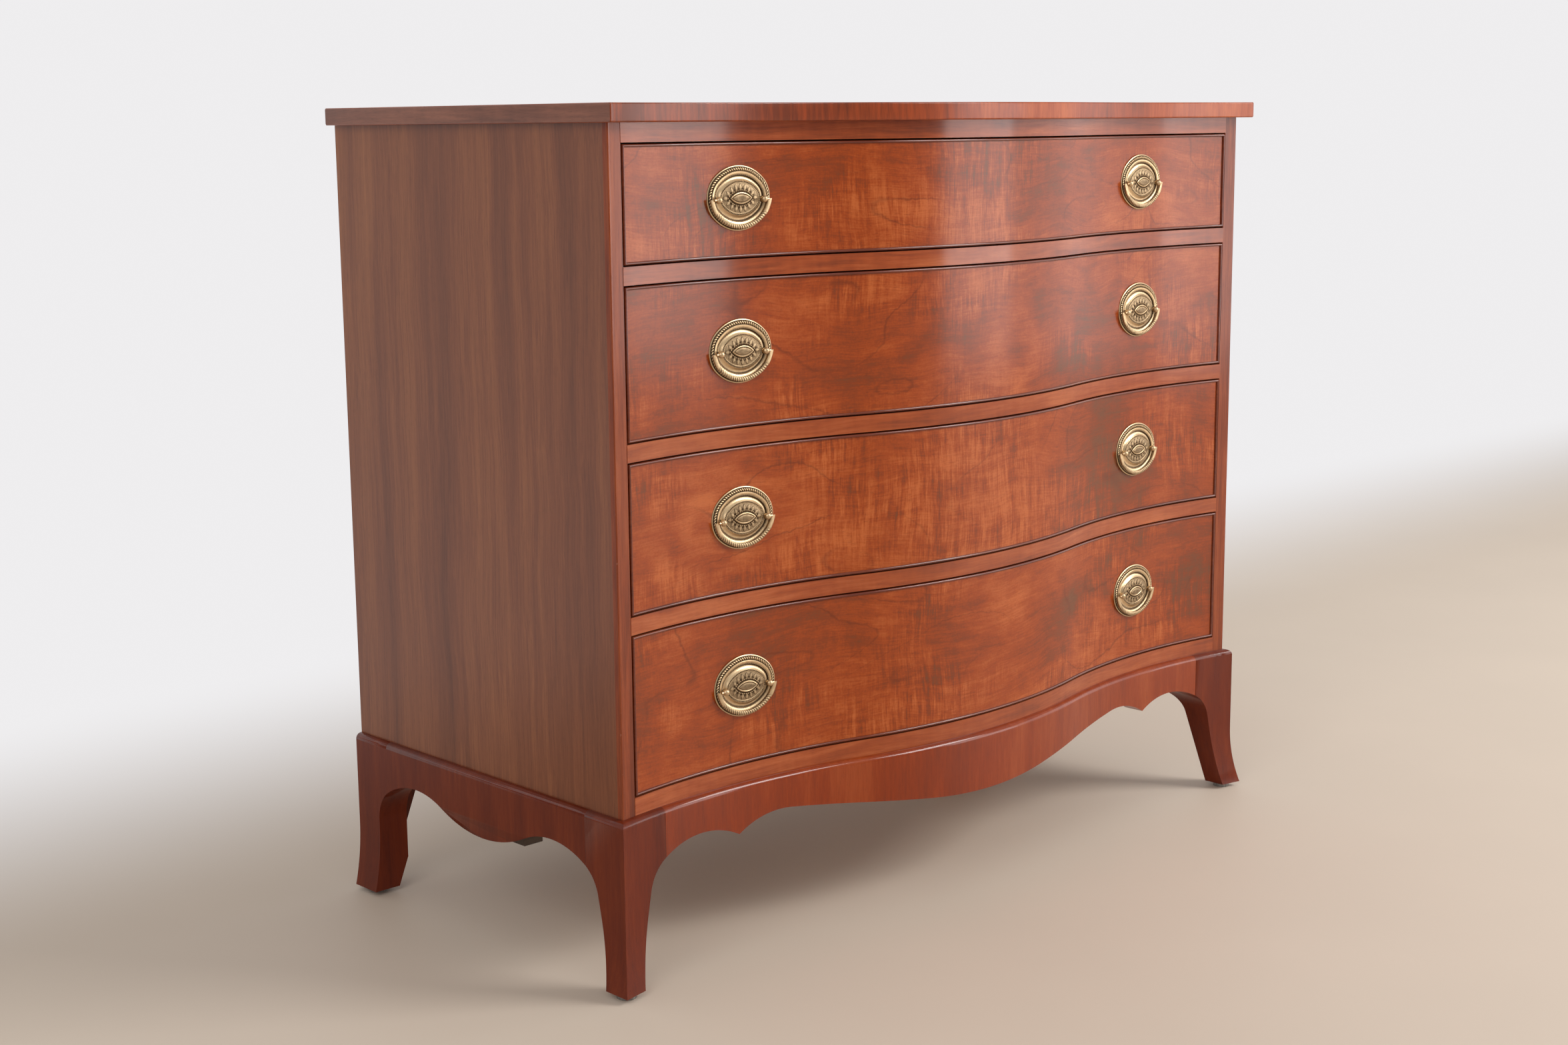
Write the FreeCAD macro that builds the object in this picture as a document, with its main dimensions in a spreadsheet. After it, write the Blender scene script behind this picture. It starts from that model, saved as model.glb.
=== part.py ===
import FreeCAD, Part
import math
import os

import Sketcher

# Driving dimensions, in millimetres and degrees
SIZES = (
    # Case
    ("case_width", 1047.0),
    ("side_depth", 482.5),
    ("side_thickness", 19.0),
    ("stile_depth", 8.0),
    ("back_thickness", 6.0),
    # Serpentine front: one bulge between two hollows, all arcs tangent
    ("bulge_radius", 703.0),
    ("hollow_radius", 737.0),
    ("hollow_inset", 145.5),
    # Top board
    ("top_thickness", 19.0),
    ("top_side_overhang", 11.0),
    ("top_front_overhang", 16.0),
    ("top_back_overhang", 2.5),
    ("top_edge_round", 1.5),
    # Rails and drawer openings, counted from the top
    ("top_rail_height", 19.5),
    ("rail_height", 18.5),
    ("bottom_rail_height", 19.0),
    ("rail_depth", 70.0),
    ("opening_1", 121.5),
    ("opening_2", 159.0),
    ("opening_3", 159.0),
    ("opening_4", 171.5),
    ("runner_width", 40.0),
    ("stop_width", 40.0),
    ("stop_depth", 12.0),
    ("stop_height", 6.0),
    ("stop_gap", 0.3),
    # Base, feet and glides
    ("base_top", 190.0),
    ("base_projection", 8.0),
    ("apron_thickness", 27.0),
    ("nose_radius", 7.0),
    ("foot_front_width", 66.5),
    ("foot_side_width", 62.0),
    ("back_foot_side_width", 62.5),
    ("back_foot_back_width", 82.0),
    ("back_post_width", 38.0),
    ("back_bracket_thickness", 20.0),
    ("back_bracket_angle", 22.0),
    ("back_foot_width", 33.5),
    ("back_rail_height", 40.0),
    ("flare", 9.0),
    ("flare_height", 75.0),
    ("glide_height", 6.0),
    ("glide_diameter", 21.0),
    # Shaped lower edge of the base
    ("arch_inset", 119.5),
    ("back_arch_inset", 120.5),
    ("arch_radius", 115.0),
    ("front_arch_drop", 40.8),
    ("side_arch_drop", 44.0),
    ("knee_radius", 44.0),
    ("knee_angle", 29.0),
    ("splay_angle", 12.0),
    ("inner_arch_spacing", 115.0),
    ("inner_arch_rise", 2.3),
    ("front_lobe_drop", 27.7),
    ("front_lobe_radius", 800.0),
    ("side_lobe_drop", 28.0),
    ("block_setback", 195.0),
    ("block_length", 40.0),
    ("block_thickness", 25.0),
    ("block_height", 78.0),
    # Drawers
    ("drawer_gap", 1.6),
    ("drawer_recess", 1.0),
    ("front_thickness", 20.0),
    ("bead_width", 3.0),
    ("bead_proud", 2.5),
    ("bead_depth", 6.0),
    ("bead_bevel", 0.9),
    ("drawer_side_gap", 2.0),
    ("drawer_side_thickness", 12.0),
    ("drawer_side_drop", 5.0),
    ("drawer_back_thickness", 12.0),
    ("drawer_back_drop", 8.0),
    ("drawer_rear_gap", 12.0),
    ("bottom_thickness", 5.0),
    ("bottom_rise", 10.0),
    ("groove_depth", 5.0),
    ("tail_length", 10.5),
    ("tail_slope", 8.0),
    ("pin_width", 9.0),
    ("edge_pin", 2.5),
    ("running_gap", 0.3),
    # Pulls: oval plate, two posts and a swinging bail
    ("pull_inset", 183.5),
    ("pull_raise", 2.2),
    ("plate_margin", 11.9),
    ("plate_height", 67.4),
    ("plate_end_radius", 28.0),
    ("plate_base", 1.4),
    ("plate_seat", 0.1),
    ("rim_width", 6.0),
    ("rim_height", 2.8),
    ("rim_bevel", 1.0),
    ("medallion_inset", 15.0),
    ("medallion_height", 3.4),
    ("medallion_bevel", 1.4),
    ("boss_inset", 24.0),
    ("boss_height", 6.0),
    ("boss_bevel", 1.5),
    ("post_spacing", 61.0),
    ("post_drop", 1.6),
    ("shank_diameter", 4.6),
    ("shank_fit", 0.1),
    ("collar_diameter", 6.0),
    ("collar_height", 1.2),
    ("ball_diameter", 7.4),
    ("pivot_reach", 6.0),
    ("nut_diameter", 9.0),
    ("nut_thickness", 3.5),
    ("bail_gap", 1.4),
    ("bail_band", 5.0),
    ("bail_thickness", 3.6),
    ("bail_bevel", 1.2),
    ("bail_tip", 0.4),
    ("bail_flare", 1.6),
    ("pin_diameter", 2.6),
    ("pin_fit", 0.05),
    ("pin_reach", 7.0),
)

# Values worked out from the driving dimensions
WORKED = (
    ("case_half", "Sizes.case_width / 2"),
    ("opening_half", "case_half - Sizes.side_thickness"),
    ("hollow_x", "case_half - Sizes.hollow_inset"),
    ("hollow_ahead", "sqrt(Sizes.hollow_radius ^ 2 - Sizes.hollow_inset ^ 2)"),
    ("radius_sum", "Sizes.bulge_radius + Sizes.hollow_radius"),
    ("bulge_y", "sqrt(radius_sum ^ 2 - hollow_x ^ 2) - hollow_ahead"),
    ("bulge_front", "Sizes.bulge_radius - bulge_y"),
    ("front_reach", "bulge_front + Sizes.top_front_overhang"),
    ("top_back", "Sizes.side_depth + Sizes.top_back_overhang"),
    ("corner_y", "(front_reach - top_back) / 2"),
    ("top_half", "case_half + Sizes.top_side_overhang"),
    ("floor_4", "Sizes.base_top + Sizes.bottom_rail_height"),
    ("floor_3", "floor_4 + Sizes.opening_4 + Sizes.rail_height"),
    ("floor_2", "floor_3 + Sizes.opening_3 + Sizes.rail_height"),
    ("floor_1", "floor_2 + Sizes.opening_2 + Sizes.rail_height"),
    ("top_rail_z", "floor_1 + Sizes.opening_1"),
    ("case_top", "top_rail_z + Sizes.top_rail_height"),
    ("case_face", "0"),
    ("top_face", "Sizes.top_front_overhang"),
    ("inner_back", "Sizes.side_depth - Sizes.back_thickness"),
    ("base_half", "case_half + Sizes.base_projection"),
    ("apron_inner_x", "base_half - Sizes.apron_thickness"),
    ("apron_face", "Sizes.base_projection"),
    ("apron_back", "Sizes.base_projection - Sizes.apron_thickness"),
    ("front_seam_x", "base_half - Sizes.foot_front_width"),
    ("side_seam_y", "Sizes.foot_side_width - Sizes.base_projection"),
    ("back_seam_y", "Sizes.side_depth - Sizes.back_foot_side_width"),
    ("back_seam_x", "base_half - Sizes.back_foot_back_width"),
    ("front_face", "-Sizes.drawer_recess"),
    ("front_back", "-Sizes.drawer_recess - Sizes.front_thickness"),
    ("front_groove", "front_back + Sizes.groove_depth"),
    ("bead_face", "Sizes.bead_proud - Sizes.drawer_recess"),
    ("bead_back", "front_face - Sizes.bead_depth"),
    ("bead_end", "opening_half - Sizes.drawer_gap"),
    ("front_end", "bead_end - Sizes.bead_width"),
    ("drawer_outer", "opening_half - Sizes.drawer_side_gap"),
    ("drawer_inner", "drawer_outer - Sizes.drawer_side_thickness"),
    ("groove_end", "drawer_inner + Sizes.groove_depth"),
    ("drawer_rear", "inner_back - Sizes.drawer_rear_gap"),
    ("back_radius", "Sizes.hollow_radius - front_back"),
    ("corner_back_y", "sqrt(back_radius ^ 2 - (drawer_outer - hollow_x) ^ 2) - hollow_ahead"),
    ("tail_y", "corner_back_y - Sizes.tail_length"),
    ("edge_gap", "Sizes.drawer_gap + Sizes.bead_width"),
    ("pull_x", "case_half - Sizes.pull_inset"),
    ("plate_half", "Sizes.post_spacing / 2 + Sizes.plate_margin"),
    ("bail_inner", "(Sizes.post_spacing + Sizes.ball_diameter) / 2 + Sizes.bail_gap"),
)

DRAWERS = ("1", "2", "3", "4")
# Distance at which two places count as the same
CLOSE = 0.01

doc = FreeCAD.newDocument("serpentine_chest")
nodes = []


# Sheets


def add_sheet(name, rows, lead):
    """Fill a sheet with one named cell for each row."""
    sheet = doc.addObject("Spreadsheet::Sheet", name)
    for row, (alias, content) in enumerate(rows, start=1):
        sheet.set(f"A{row}", alias)
        sheet.set(f"B{row}", f"{lead}{content}")
        sheet.setAlias(f"B{row}", alias)
    doc.recompute()
    return sheet


sizes = add_sheet("Sizes", SIZES, "")
worked = add_sheet("Worked", WORKED, "=")
SIZE_NAMES = {alias for alias, _ in SIZES}


def cell(alias):
    """Name a cell the way a formula does."""
    return f"Sizes.{alias}" if alias in SIZE_NAMES else f"Worked.{alias}"


def worth(alias):
    """Read the number in a cell."""
    return float(getattr(sizes if alias in SIZE_NAMES else worked, alias))


def both_sides():
    """Name each side and the way it lies along x."""
    yield "left", -1
    yield "right", 1


# Placing and grouping


def seat(solid, height=None):
    """Shift a solid from the case corner line to the middle of the chest, at a height."""
    solid.setExpression("Placement.Base.y", "Worked.corner_y")
    if height:
        solid.setExpression("Placement.Base.z", height)


def node(solid, name):
    """Name a finished piece and list it for writing."""
    solid.Label = name
    nodes.append(solid)
    return solid


def box(name, corner, extent):
    """Make a board from formulas for its low corner and its extent."""
    board = doc.addObject("Part::Box", name)
    for axis, formula in zip("xyz", corner):
        board.setExpression(f"Placement.Base.{axis}", formula)
    for side, formula in zip(("Length", "Width", "Height"), extent):
        board.setExpression(side, formula)
    return board


def case_box(name, corner, extent):
    """Make a board whose place is counted from the case corner line."""
    x, y, z = corner
    return box(name, (x, f"Worked.corner_y + {y}", z), extent)


def mirror(source, name):
    """Make the left-hand twin of a right-hand piece."""
    twin = doc.addObject("Part::Mirroring", name)
    twin.Source = source
    twin.Normal = FreeCAD.Vector(1, 0, 0)
    return twin


def group(name, members):
    """Hold several separate solids as one node."""
    compound = doc.addObject("Part::Compound", name)
    compound.Links = members
    return compound


def common(name, members):
    """Keep what all members share."""
    shared = doc.addObject("Part::MultiCommon", name)
    shared.Shapes = members
    return shared


def fuse(name, members):
    """Join all members into one solid."""
    joined = doc.addObject("Part::MultiFuse", name)
    joined.Shapes = members
    return joined


def cut(name, base, tool):
    """Take a tool away from a base."""
    remainder = doc.addObject("Part::Cut", name)
    remainder.Base = base
    remainder.Tool = tool
    return remainder


# Sketches


def add_body(name):
    return doc.addObject("PartDesign::Body", name)


def add_sketch(body, name, role):
    """Start a sketch on one of a body's own planes."""
    sketch = body.newObject("Sketcher::SketchObject", name)
    plane = next(item for item in body.Origin.OriginFeatures if item.Role == role)
    sketch.AttachmentSupport = [(plane, "")]
    sketch.MapMode = "FlatFace"
    return sketch


def at(x, y):
    return FreeCAD.Vector(x, y, 0)


def on_circle(centre, radius, angle):
    """Point of a circle at an angle in degrees."""
    turn = math.radians(angle)
    return at(centre.x + radius * math.cos(turn), centre.y + radius * math.sin(turn))


def arc_of(centre, radius, start, end):
    """Arc drawn anticlockwise between two angles in degrees."""
    circle = Part.Circle(centre, FreeCAD.Vector(0, 0, 1), radius)
    return Part.ArcOfCircle(circle, math.radians(start), math.radians(end))


def hold(sketch, kind, places, value, formula):
    """Add a dimension and tie it to a formula."""
    index = sketch.addConstraint(Sketcher.Constraint(kind, *places, value))
    sketch.setExpression(f"Constraints[{index}]", formula)


def meet(sketch, first, first_end, second, second_end):
    sketch.addConstraint(Sketcher.Constraint("Coincident", first, first_end, second, second_end))


def serpentine_edge(sketch, offset, end):
    """Draw the three front arcs at an offset, out to an end on both sides."""
    bulge = worth("bulge_radius") + worth(offset)
    hollow = worth("hollow_radius") - worth(offset)
    hollow_x = worth("hollow_x")
    ahead = worth("hollow_ahead")
    turn = math.degrees(math.asin(hollow_x / worth("radius_sum")))
    lean = math.degrees(math.asin((worth(end) - hollow_x) / hollow))
    left = sketch.addGeometry(arc_of(at(-hollow_x, -ahead), hollow, 90 - turn, 90 + lean))
    middle = sketch.addGeometry(arc_of(at(0, worth("bulge_y")), bulge, 270 - turn, 270 + turn))
    right = sketch.addGeometry(arc_of(at(hollow_x, -ahead), hollow, 90 - lean, 90 + turn))
    sketch.addConstraint(Sketcher.Constraint("Tangent", left, 1, middle, 1))
    sketch.addConstraint(Sketcher.Constraint("Tangent", middle, 2, right, 2))
    hold(sketch, "Radius", (middle,), bulge, f"Sizes.bulge_radius + {cell(offset)}")
    for arc in (left, right):
        hold(sketch, "Radius", (arc,), hollow, f"Sizes.hollow_radius - {cell(offset)}")
        hold(sketch, "DistanceY", (arc, 3, -1, 1), ahead, "Worked.hollow_ahead")
    hold(sketch, "DistanceX", (left, 3, -1, 1), hollow_x, "Worked.hollow_x")
    hold(sketch, "DistanceX", (-1, 1, right, 3), hollow_x, "Worked.hollow_x")
    hold(sketch, "DistanceX", (left, 2, -1, 1), worth(end), cell(end))
    hold(sketch, "DistanceX", (-1, 1, right, 1), worth(end), cell(end))
    return left, right


def end_point(sketch, arc, which):
    return sketch.getPoint(arc, which)


def join(sketch, first, first_end, second, second_end):
    """Draw a straight line between two ends."""
    line = Part.LineSegment(end_point(sketch, first, first_end), end_point(sketch, second, second_end))
    index = sketch.addGeometry(line)
    meet(sketch, index, 1, first, first_end)
    meet(sketch, index, 2, second, second_end)
    return index


def curved_strip(body, name, face, back, end):
    """Plan of a board that follows the front on both faces."""
    sketch = add_sketch(body, name, "XY_Plane")
    outer_left, outer_right = serpentine_edge(sketch, face, end)
    inner_left, inner_right = serpentine_edge(sketch, back, end)
    join(sketch, outer_left, 2, inner_left, 2)
    join(sketch, outer_right, 1, inner_right, 1)
    return sketch


def straight_back(sketch, left, left_end, right, right_end, back):
    """Close a plan with two square sides and a straight back edge."""
    left_point = end_point(sketch, left, left_end)
    right_point = end_point(sketch, right, right_end)
    depth = worth(back)
    side_left = sketch.addGeometry(Part.LineSegment(left_point, at(left_point.x, depth)))
    edge = sketch.addGeometry(Part.LineSegment(at(left_point.x, depth), at(right_point.x, depth)))
    side_right = sketch.addGeometry(Part.LineSegment(at(right_point.x, depth), right_point))
    meet(sketch, left, left_end, side_left, 1)
    meet(sketch, side_left, 2, edge, 1)
    meet(sketch, edge, 2, side_right, 1)
    meet(sketch, side_right, 2, right, right_end)
    sketch.addConstraint(Sketcher.Constraint("Vertical", side_left))
    sketch.addConstraint(Sketcher.Constraint("Vertical", side_right))
    sketch.addConstraint(Sketcher.Constraint("Horizontal", edge))
    hold(sketch, "DistanceY", (-1, 1, edge, 1), depth, cell(back))


def curved_board(body, name, face, end, back):
    """Plan of a board with a serpentine front and a straight back."""
    sketch = add_sketch(body, name, "XY_Plane")
    left, right = serpentine_edge(sketch, face, end)
    straight_back(sketch, left, 2, right, 1, back)
    return sketch


def hollow_board(body, name, face, inner, outer, back):
    """Plan of a narrow right-hand board whose front lies on the hollow's arc."""
    sketch = add_sketch(body, name, "XY_Plane")
    radius = worth("hollow_radius") - worth(face)
    hollow_x = worth("hollow_x")
    ahead = worth("hollow_ahead")
    first, last = (
        90 - math.degrees(math.asin((worth(place) - hollow_x) / radius)) for place in (outer, inner)
    )
    arc = sketch.addGeometry(arc_of(at(hollow_x, -ahead), radius, first, last))
    hold(sketch, "Radius", (arc,), radius, f"Sizes.hollow_radius - {cell(face)}")
    hold(sketch, "DistanceX", (-1, 1, arc, 3), hollow_x, "Worked.hollow_x")
    hold(sketch, "DistanceY", (arc, 3, -1, 1), ahead, "Worked.hollow_ahead")
    hold(sketch, "DistanceX", (-1, 1, arc, 1), worth(outer), cell(outer))
    hold(sketch, "DistanceX", (-1, 1, arc, 2), worth(inner), cell(inner))
    straight_back(sketch, arc, 2, arc, 1, back)
    return sketch


def front_offset(point):
    """How far a point stands out from the case front."""
    inward = abs(point.x) * (worth("bulge_y") + worth("hollow_ahead"))
    if inward < worth("hollow_x") * (worth("bulge_y") - point.y):
        return math.hypot(point.x, worth("bulge_y") - point.y) - worth("bulge_radius")
    across = abs(point.x) - worth("hollow_x")
    return worth("hollow_radius") - math.hypot(across, point.y + worth("hollow_ahead"))


def follows_front(edge, offset):
    """Tell whether an edge lies at an offset from the case front, at its ends and middle."""
    places = (edge.FirstParameter, (edge.FirstParameter + edge.LastParameter) / 2, edge.LastParameter)
    return all(abs(front_offset(edge.valueAt(place)) - worth(offset)) < CLOSE for place in places)


def pad(body, sketch, length):
    """Raise a sketch to a length given by a formula."""
    feature = body.newObject("PartDesign::Pad", f"{sketch.Name}_pad")
    feature.Profile = sketch
    feature.setExpression("Length", length)
    sketch.Visibility = False
    return feature


# Outlines of lines and arcs


def line(start, end):
    return ("line", start, end)


def arc(centre, radius, start, end, formula):
    """Arc walked from one angle to another; its radius keeps to a formula."""
    return ("arc", centre, radius, start, end, formula)


def flip(piece):
    """Mirror a piece of an outline left to right, walked the other way."""
    if piece[0] == "line":
        _, start, end = piece
        return line(at(-end.x, end.y), at(-start.x, start.y))
    _, centre, radius, start, end, formula = piece
    return arc(at(-centre.x, centre.y), radius, 180 - end, 180 - start, formula)


def heading(piece, at_end):
    """Direction of travel at an end of a piece."""
    if piece[0] == "line":
        return piece[2].sub(piece[1]).normalize()
    _, _, _, start, end, _ = piece
    turn = math.radians(end if at_end else start)
    way = 1 if end > start else -1
    return at(-way * math.sin(turn), way * math.cos(turn))


def draw_outline(sketch, pieces):
    """Draw a closed outline; pieces that run on smoothly are kept tangent."""
    drawn = []
    for piece in pieces:
        if piece[0] == "line":
            index = sketch.addGeometry(Part.LineSegment(piece[1], piece[2]))
            drawn.append((index, 1, 2))
            continue
        _, centre, radius, start, end, formula = piece
        index = sketch.addGeometry(arc_of(centre, radius, min(start, end), max(start, end)))
        hold(sketch, "Radius", (index,), radius, formula)
        drawn.append((index, 1, 2) if end > start else (index, 2, 1))
    for number, (index, _, last) in enumerate(drawn):
        after = (number + 1) % len(drawn)
        next_index, next_first, _ = drawn[after]
        smooth = heading(pieces[number], True).dot(heading(pieces[after], False)) > 1 - 1e-9
        kind = "Tangent" if smooth else "Coincident"
        sketch.addConstraint(Sketcher.Constraint(kind, index, last, next_index, next_first))


# Case


def build_top():
    body = add_body("top_board")
    pad(body, curved_board(body, "top_plan", "top_face", "top_half", "top_back"), "Sizes.top_thickness")
    seat(body, "Worked.case_top")
    doc.recompute()
    board = body.Tip
    flat = [
        f"Edge{number}"
        for number, edge in enumerate(board.Shape.Edges, start=1)
        if edge.BoundBox.ZLength < worth("top_thickness") / 2
    ]
    ease = body.newObject("PartDesign::Fillet", "top_ease")
    ease.Base = (board, flat)
    ease.setExpression("Radius", "Sizes.top_edge_round")
    node(body, "top_board")


def build_sides():
    side = case_box(
        "right_side",
        ("Worked.opening_half", "Sizes.stile_depth", "Sizes.base_top"),
        (
            "Sizes.side_thickness",
            "Sizes.side_depth - Sizes.stile_depth",
            "Worked.case_top - Sizes.base_top",
        ),
    )
    stile = add_body("right_stile")
    plan = hollow_board(stile, "stile_plan", "case_face", "opening_half", "case_half", "stile_depth")
    pad(stile, plan, "Worked.case_top - Sizes.base_top")
    seat(stile, "Sizes.base_top")
    for solid, name in ((side, "side"), (stile, "stile")):
        node(solid, f"right_{name}")
        node(mirror(solid, f"left_{name}"), f"left_{name}")


def build_rails():
    rails = [("top_rail", "Worked.top_rail_z", "Sizes.top_rail_height")]
    rails += [
        (f"divider_rail_{drawer}", f"Worked.floor_{drawer} - Sizes.rail_height", "Sizes.rail_height")
        for drawer in DRAWERS[:-1]
    ]
    rails.append(("bottom_rail", "Sizes.base_top", "Sizes.bottom_rail_height"))
    for name, height, thickness in rails:
        body = add_body(name)
        pad(body, curved_board(body, f"{name}_plan", "case_face", "opening_half", "rail_depth"), thickness)
        seat(body, height)
        node(body, name)


def build_inside():
    inner_width = "2 * Worked.opening_half"
    run = "Worked.inner_back - Sizes.rail_depth"
    node(
        case_box(
            "back_panel",
            ("-Worked.opening_half", "Worked.inner_back", "Sizes.base_top"),
            (inner_width, "Sizes.back_thickness", "Worked.case_top - Sizes.base_top"),
        ),
        "back_panel",
    )
    node(
        case_box(
            "bottom_board",
            ("-Worked.opening_half", "Sizes.rail_depth", "Sizes.base_top"),
            (inner_width, run, "Sizes.bottom_rail_height"),
        ),
        "bottom_board",
    )
    levels = [(f"Worked.floor_{drawer} - Sizes.rail_height", "Sizes.rail_height") for drawer in DRAWERS[:-1]]
    levels.append(("Worked.top_rail_z", "Sizes.top_rail_height"))
    runners = []
    for level, (height, thickness) in enumerate(levels, start=1):
        runner = case_box(
            f"runner_{level}",
            ("Worked.opening_half - Sizes.runner_width", "Sizes.rail_depth", height),
            ("Sizes.runner_width", run, thickness),
        )
        runners += [runner, mirror(runner, f"runner_{level}_left")]
    node(group("drawer_runners", runners), "drawer_runners")
    stops = []
    for drawer in DRAWERS:
        reach = "Sizes.hollow_radius - Worked.hollow_ahead - Worked.front_back + Sizes.stop_gap"
        stop = case_box(
            f"stop_{drawer}",
            ("Worked.hollow_x - Sizes.stop_width / 2", reach, f"Worked.floor_{drawer}"),
            ("Sizes.stop_width", "Sizes.stop_depth", "Sizes.stop_height"),
        )
        stops += [stop, mirror(stop, f"stop_{drawer}_left")]
    node(group("drawer_stops", stops), "drawer_stops")


# Base


def flare_radius():
    rise = worth("flare_height")
    return (rise**2 + worth("flare") ** 2) / (2 * worth("flare"))


FLARE_FORMULA = "(Sizes.flare_height ^ 2 + Sizes.flare ^ 2) / (2 * Sizes.flare)"


def outer_edge(face):
    """Foot flare, upright face and rounded nose at a face's distance, walked upwards."""
    low = worth("glide_height")
    bend = low + worth("flare_height")
    top = worth("base_top")
    nose = worth("nose_radius")
    radius = flare_radius()
    lean = math.degrees(math.asin(worth("flare_height") / radius))
    return [
        arc(at(face + radius, bend), radius, 180 + lean, 180, FLARE_FORMULA),
        line(at(face, bend), at(face, top - nose)),
        arc(at(face - nose, top - nose), nose, 0, 90, "Sizes.nose_radius"),
    ]


def knee(crown, splay):
    """Arch from its crown down into a foot that splays from upright, walked towards the foot."""
    arch = worth("arch_radius")
    small = worth("knee_radius")
    bend = 90 - worth("knee_angle")
    arch_centre = at(crown.x, crown.y - arch)
    knee_centre = on_circle(arch_centre, arch - small, bend)
    last = on_circle(knee_centre, small, splay)
    low = worth("glide_height")
    bottom = at(last.x + (last.y - low) * math.tan(math.radians(splay)), low)
    return arch_centre, bend, knee_centre, last, bottom


def front_outline():
    """Front of the base with its lobe, cusps, arches and feet."""
    face = worth("base_half")
    crown = at(face - worth("arch_inset"), worth("base_top") - worth("front_arch_drop"))
    arch = worth("arch_radius")
    arch_centre, bend, knee_centre, last, bottom = knee(crown, worth("splay_angle"))
    inner_centre = at(crown.x - worth("inner_arch_spacing"), crown.y + worth("inner_arch_rise") - arch)
    lobe = worth("front_lobe_radius")
    lobe_centre = at(0, crown.y - worth("front_lobe_drop") + lobe)
    across = inner_centre.sub(lobe_centre)
    slope = math.degrees(math.atan2(across.x, -across.y) - math.acos((lobe + arch) / across.Length))
    half_gap = arch_centre.sub(inner_centre) * 0.5
    height = math.sqrt(arch**2 - half_gap.Length**2)
    normal = at(-half_gap.y, half_gap.x).normalize()
    cusp = inner_centre.add(half_gap).add(normal * height)
    tip = at(face + worth("flare"), worth("glide_height"))
    angle_to = lambda centre: math.degrees(math.atan2(cusp.y - centre.y, cusp.x - centre.x))
    right = [
        line(on_circle(lobe_centre, lobe, slope - 90), on_circle(inner_centre, arch, 90 + slope)),
        arc(inner_centre, arch, 90 + slope, angle_to(inner_centre), "Sizes.arch_radius"),
        arc(arch_centre, arch, angle_to(arch_centre), bend, "Sizes.arch_radius"),
        arc(knee_centre, worth("knee_radius"), bend, worth("splay_angle"), "Sizes.knee_radius"),
        line(last, bottom),
        line(bottom, tip),
    ] + outer_edge(face)
    top = at(face - worth("nose_radius"), worth("base_top"))
    middle = arc(lobe_centre, lobe, -90 - slope, -90 + slope, "Sizes.front_lobe_radius")
    return [middle] + right + [line(top, at(-top.x, top.y))] + [flip(piece) for piece in reversed(right)]


def side_outline():
    """Side of the base, from an open front edge to the upright back foot."""
    top = worth("base_top")
    low = worth("glide_height")
    back = worth("side_depth")
    front = -worth("base_projection")
    arch = worth("arch_radius")
    height = top - worth("side_arch_drop")
    back_crown = at(back - worth("back_arch_inset"), height)
    front_crown = at(front + worth("arch_inset"), height)
    arch_back, bend, knee_back, last_back, bottom_back = knee(back_crown, 0)
    # the front foot is the same bracket turned round
    arch_turned, _, knee_turned, last_turned, bottom_turned = knee(
        at(-front_crown.x, height), worth("splay_angle")
    )
    half_span = (back_crown.x - front_crown.x) / 2
    drop = worth("side_lobe_drop")
    lobe = (half_span**2 + drop**2) / (2 * drop) - arch
    turn = math.degrees(math.asin(half_span / (lobe + arch)))
    lobe_centre = at(front_crown.x + half_span, height - drop + lobe)
    open_front = front - 2 * worth("flare") - worth("base_projection")
    span = "(Sizes.side_depth + Sizes.base_projection - Sizes.arch_inset - Sizes.back_arch_inset) / 2"
    chord = f"(({span}) ^ 2 + Sizes.side_lobe_drop ^ 2)"
    lobe_formula = f"{chord} / (2 * Sizes.side_lobe_drop) - Sizes.arch_radius"
    small = worth("knee_radius")
    splay = worth("splay_angle")
    front_pieces = [
        arc(arch_turned, arch, 90 + turn, bend, "Sizes.arch_radius"),
        arc(knee_turned, small, bend, splay, "Sizes.knee_radius"),
        line(last_turned, bottom_turned),
    ]
    return [
        arc(lobe_centre, lobe, -90 - turn, -90 + turn, lobe_formula),
        arc(arch_back, arch, 90 + turn, bend, "Sizes.arch_radius"),
        arc(knee_back, small, bend, 0, "Sizes.knee_radius"),
        line(last_back, bottom_back),
        line(bottom_back, at(back, low)),
        line(at(back, low), at(back, top)),
        line(at(back, top), at(open_front, top)),
        line(at(open_front, top), at(open_front, low)),
        line(at(open_front, low), at(-bottom_turned.x, low)),
    ] + [flip(piece) for piece in reversed(front_pieces)]


def back_outline():
    """Back of the base: a straight rail and two brackets with a diagonal inner edge."""
    face = worth("base_half")
    low = worth("glide_height")
    under = worth("base_top") - worth("back_rail_height")
    tip = at(face + worth("flare"), low)
    inner = at(tip.x - worth("back_foot_width"), low)
    shift = (under - low) * math.tan(math.radians(worth("back_bracket_angle")))
    shoulder = at(inner.x - shift, under)
    right = [line(shoulder, inner), line(inner, tip)] + outer_edge(face)
    top = at(face - worth("nose_radius"), worth("base_top"))
    return (
        [line(at(-shoulder.x, under), shoulder)]
        + right
        + [line(top, at(-top.x, top.y))]
        + [flip(piece) for piece in reversed(right)]
    )


def foot_profile():
    """Upright section of a front foot, by its distance from the hollow's axis."""
    face = worth("hollow_radius") - worth("base_projection")
    top = worth("base_top")
    low = worth("glide_height")
    deep = worth("hollow_radius") + 2 * worth("foot_side_width")
    edge = [flip(piece) for piece in reversed(outer_edge(-face))]
    return [
        *edge,
        line(at(face - worth("flare"), low), at(deep, low)),
        line(at(deep, low), at(deep, top)),
        line(at(deep, top), at(face + worth("nose_radius"), top)),
    ]


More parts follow.
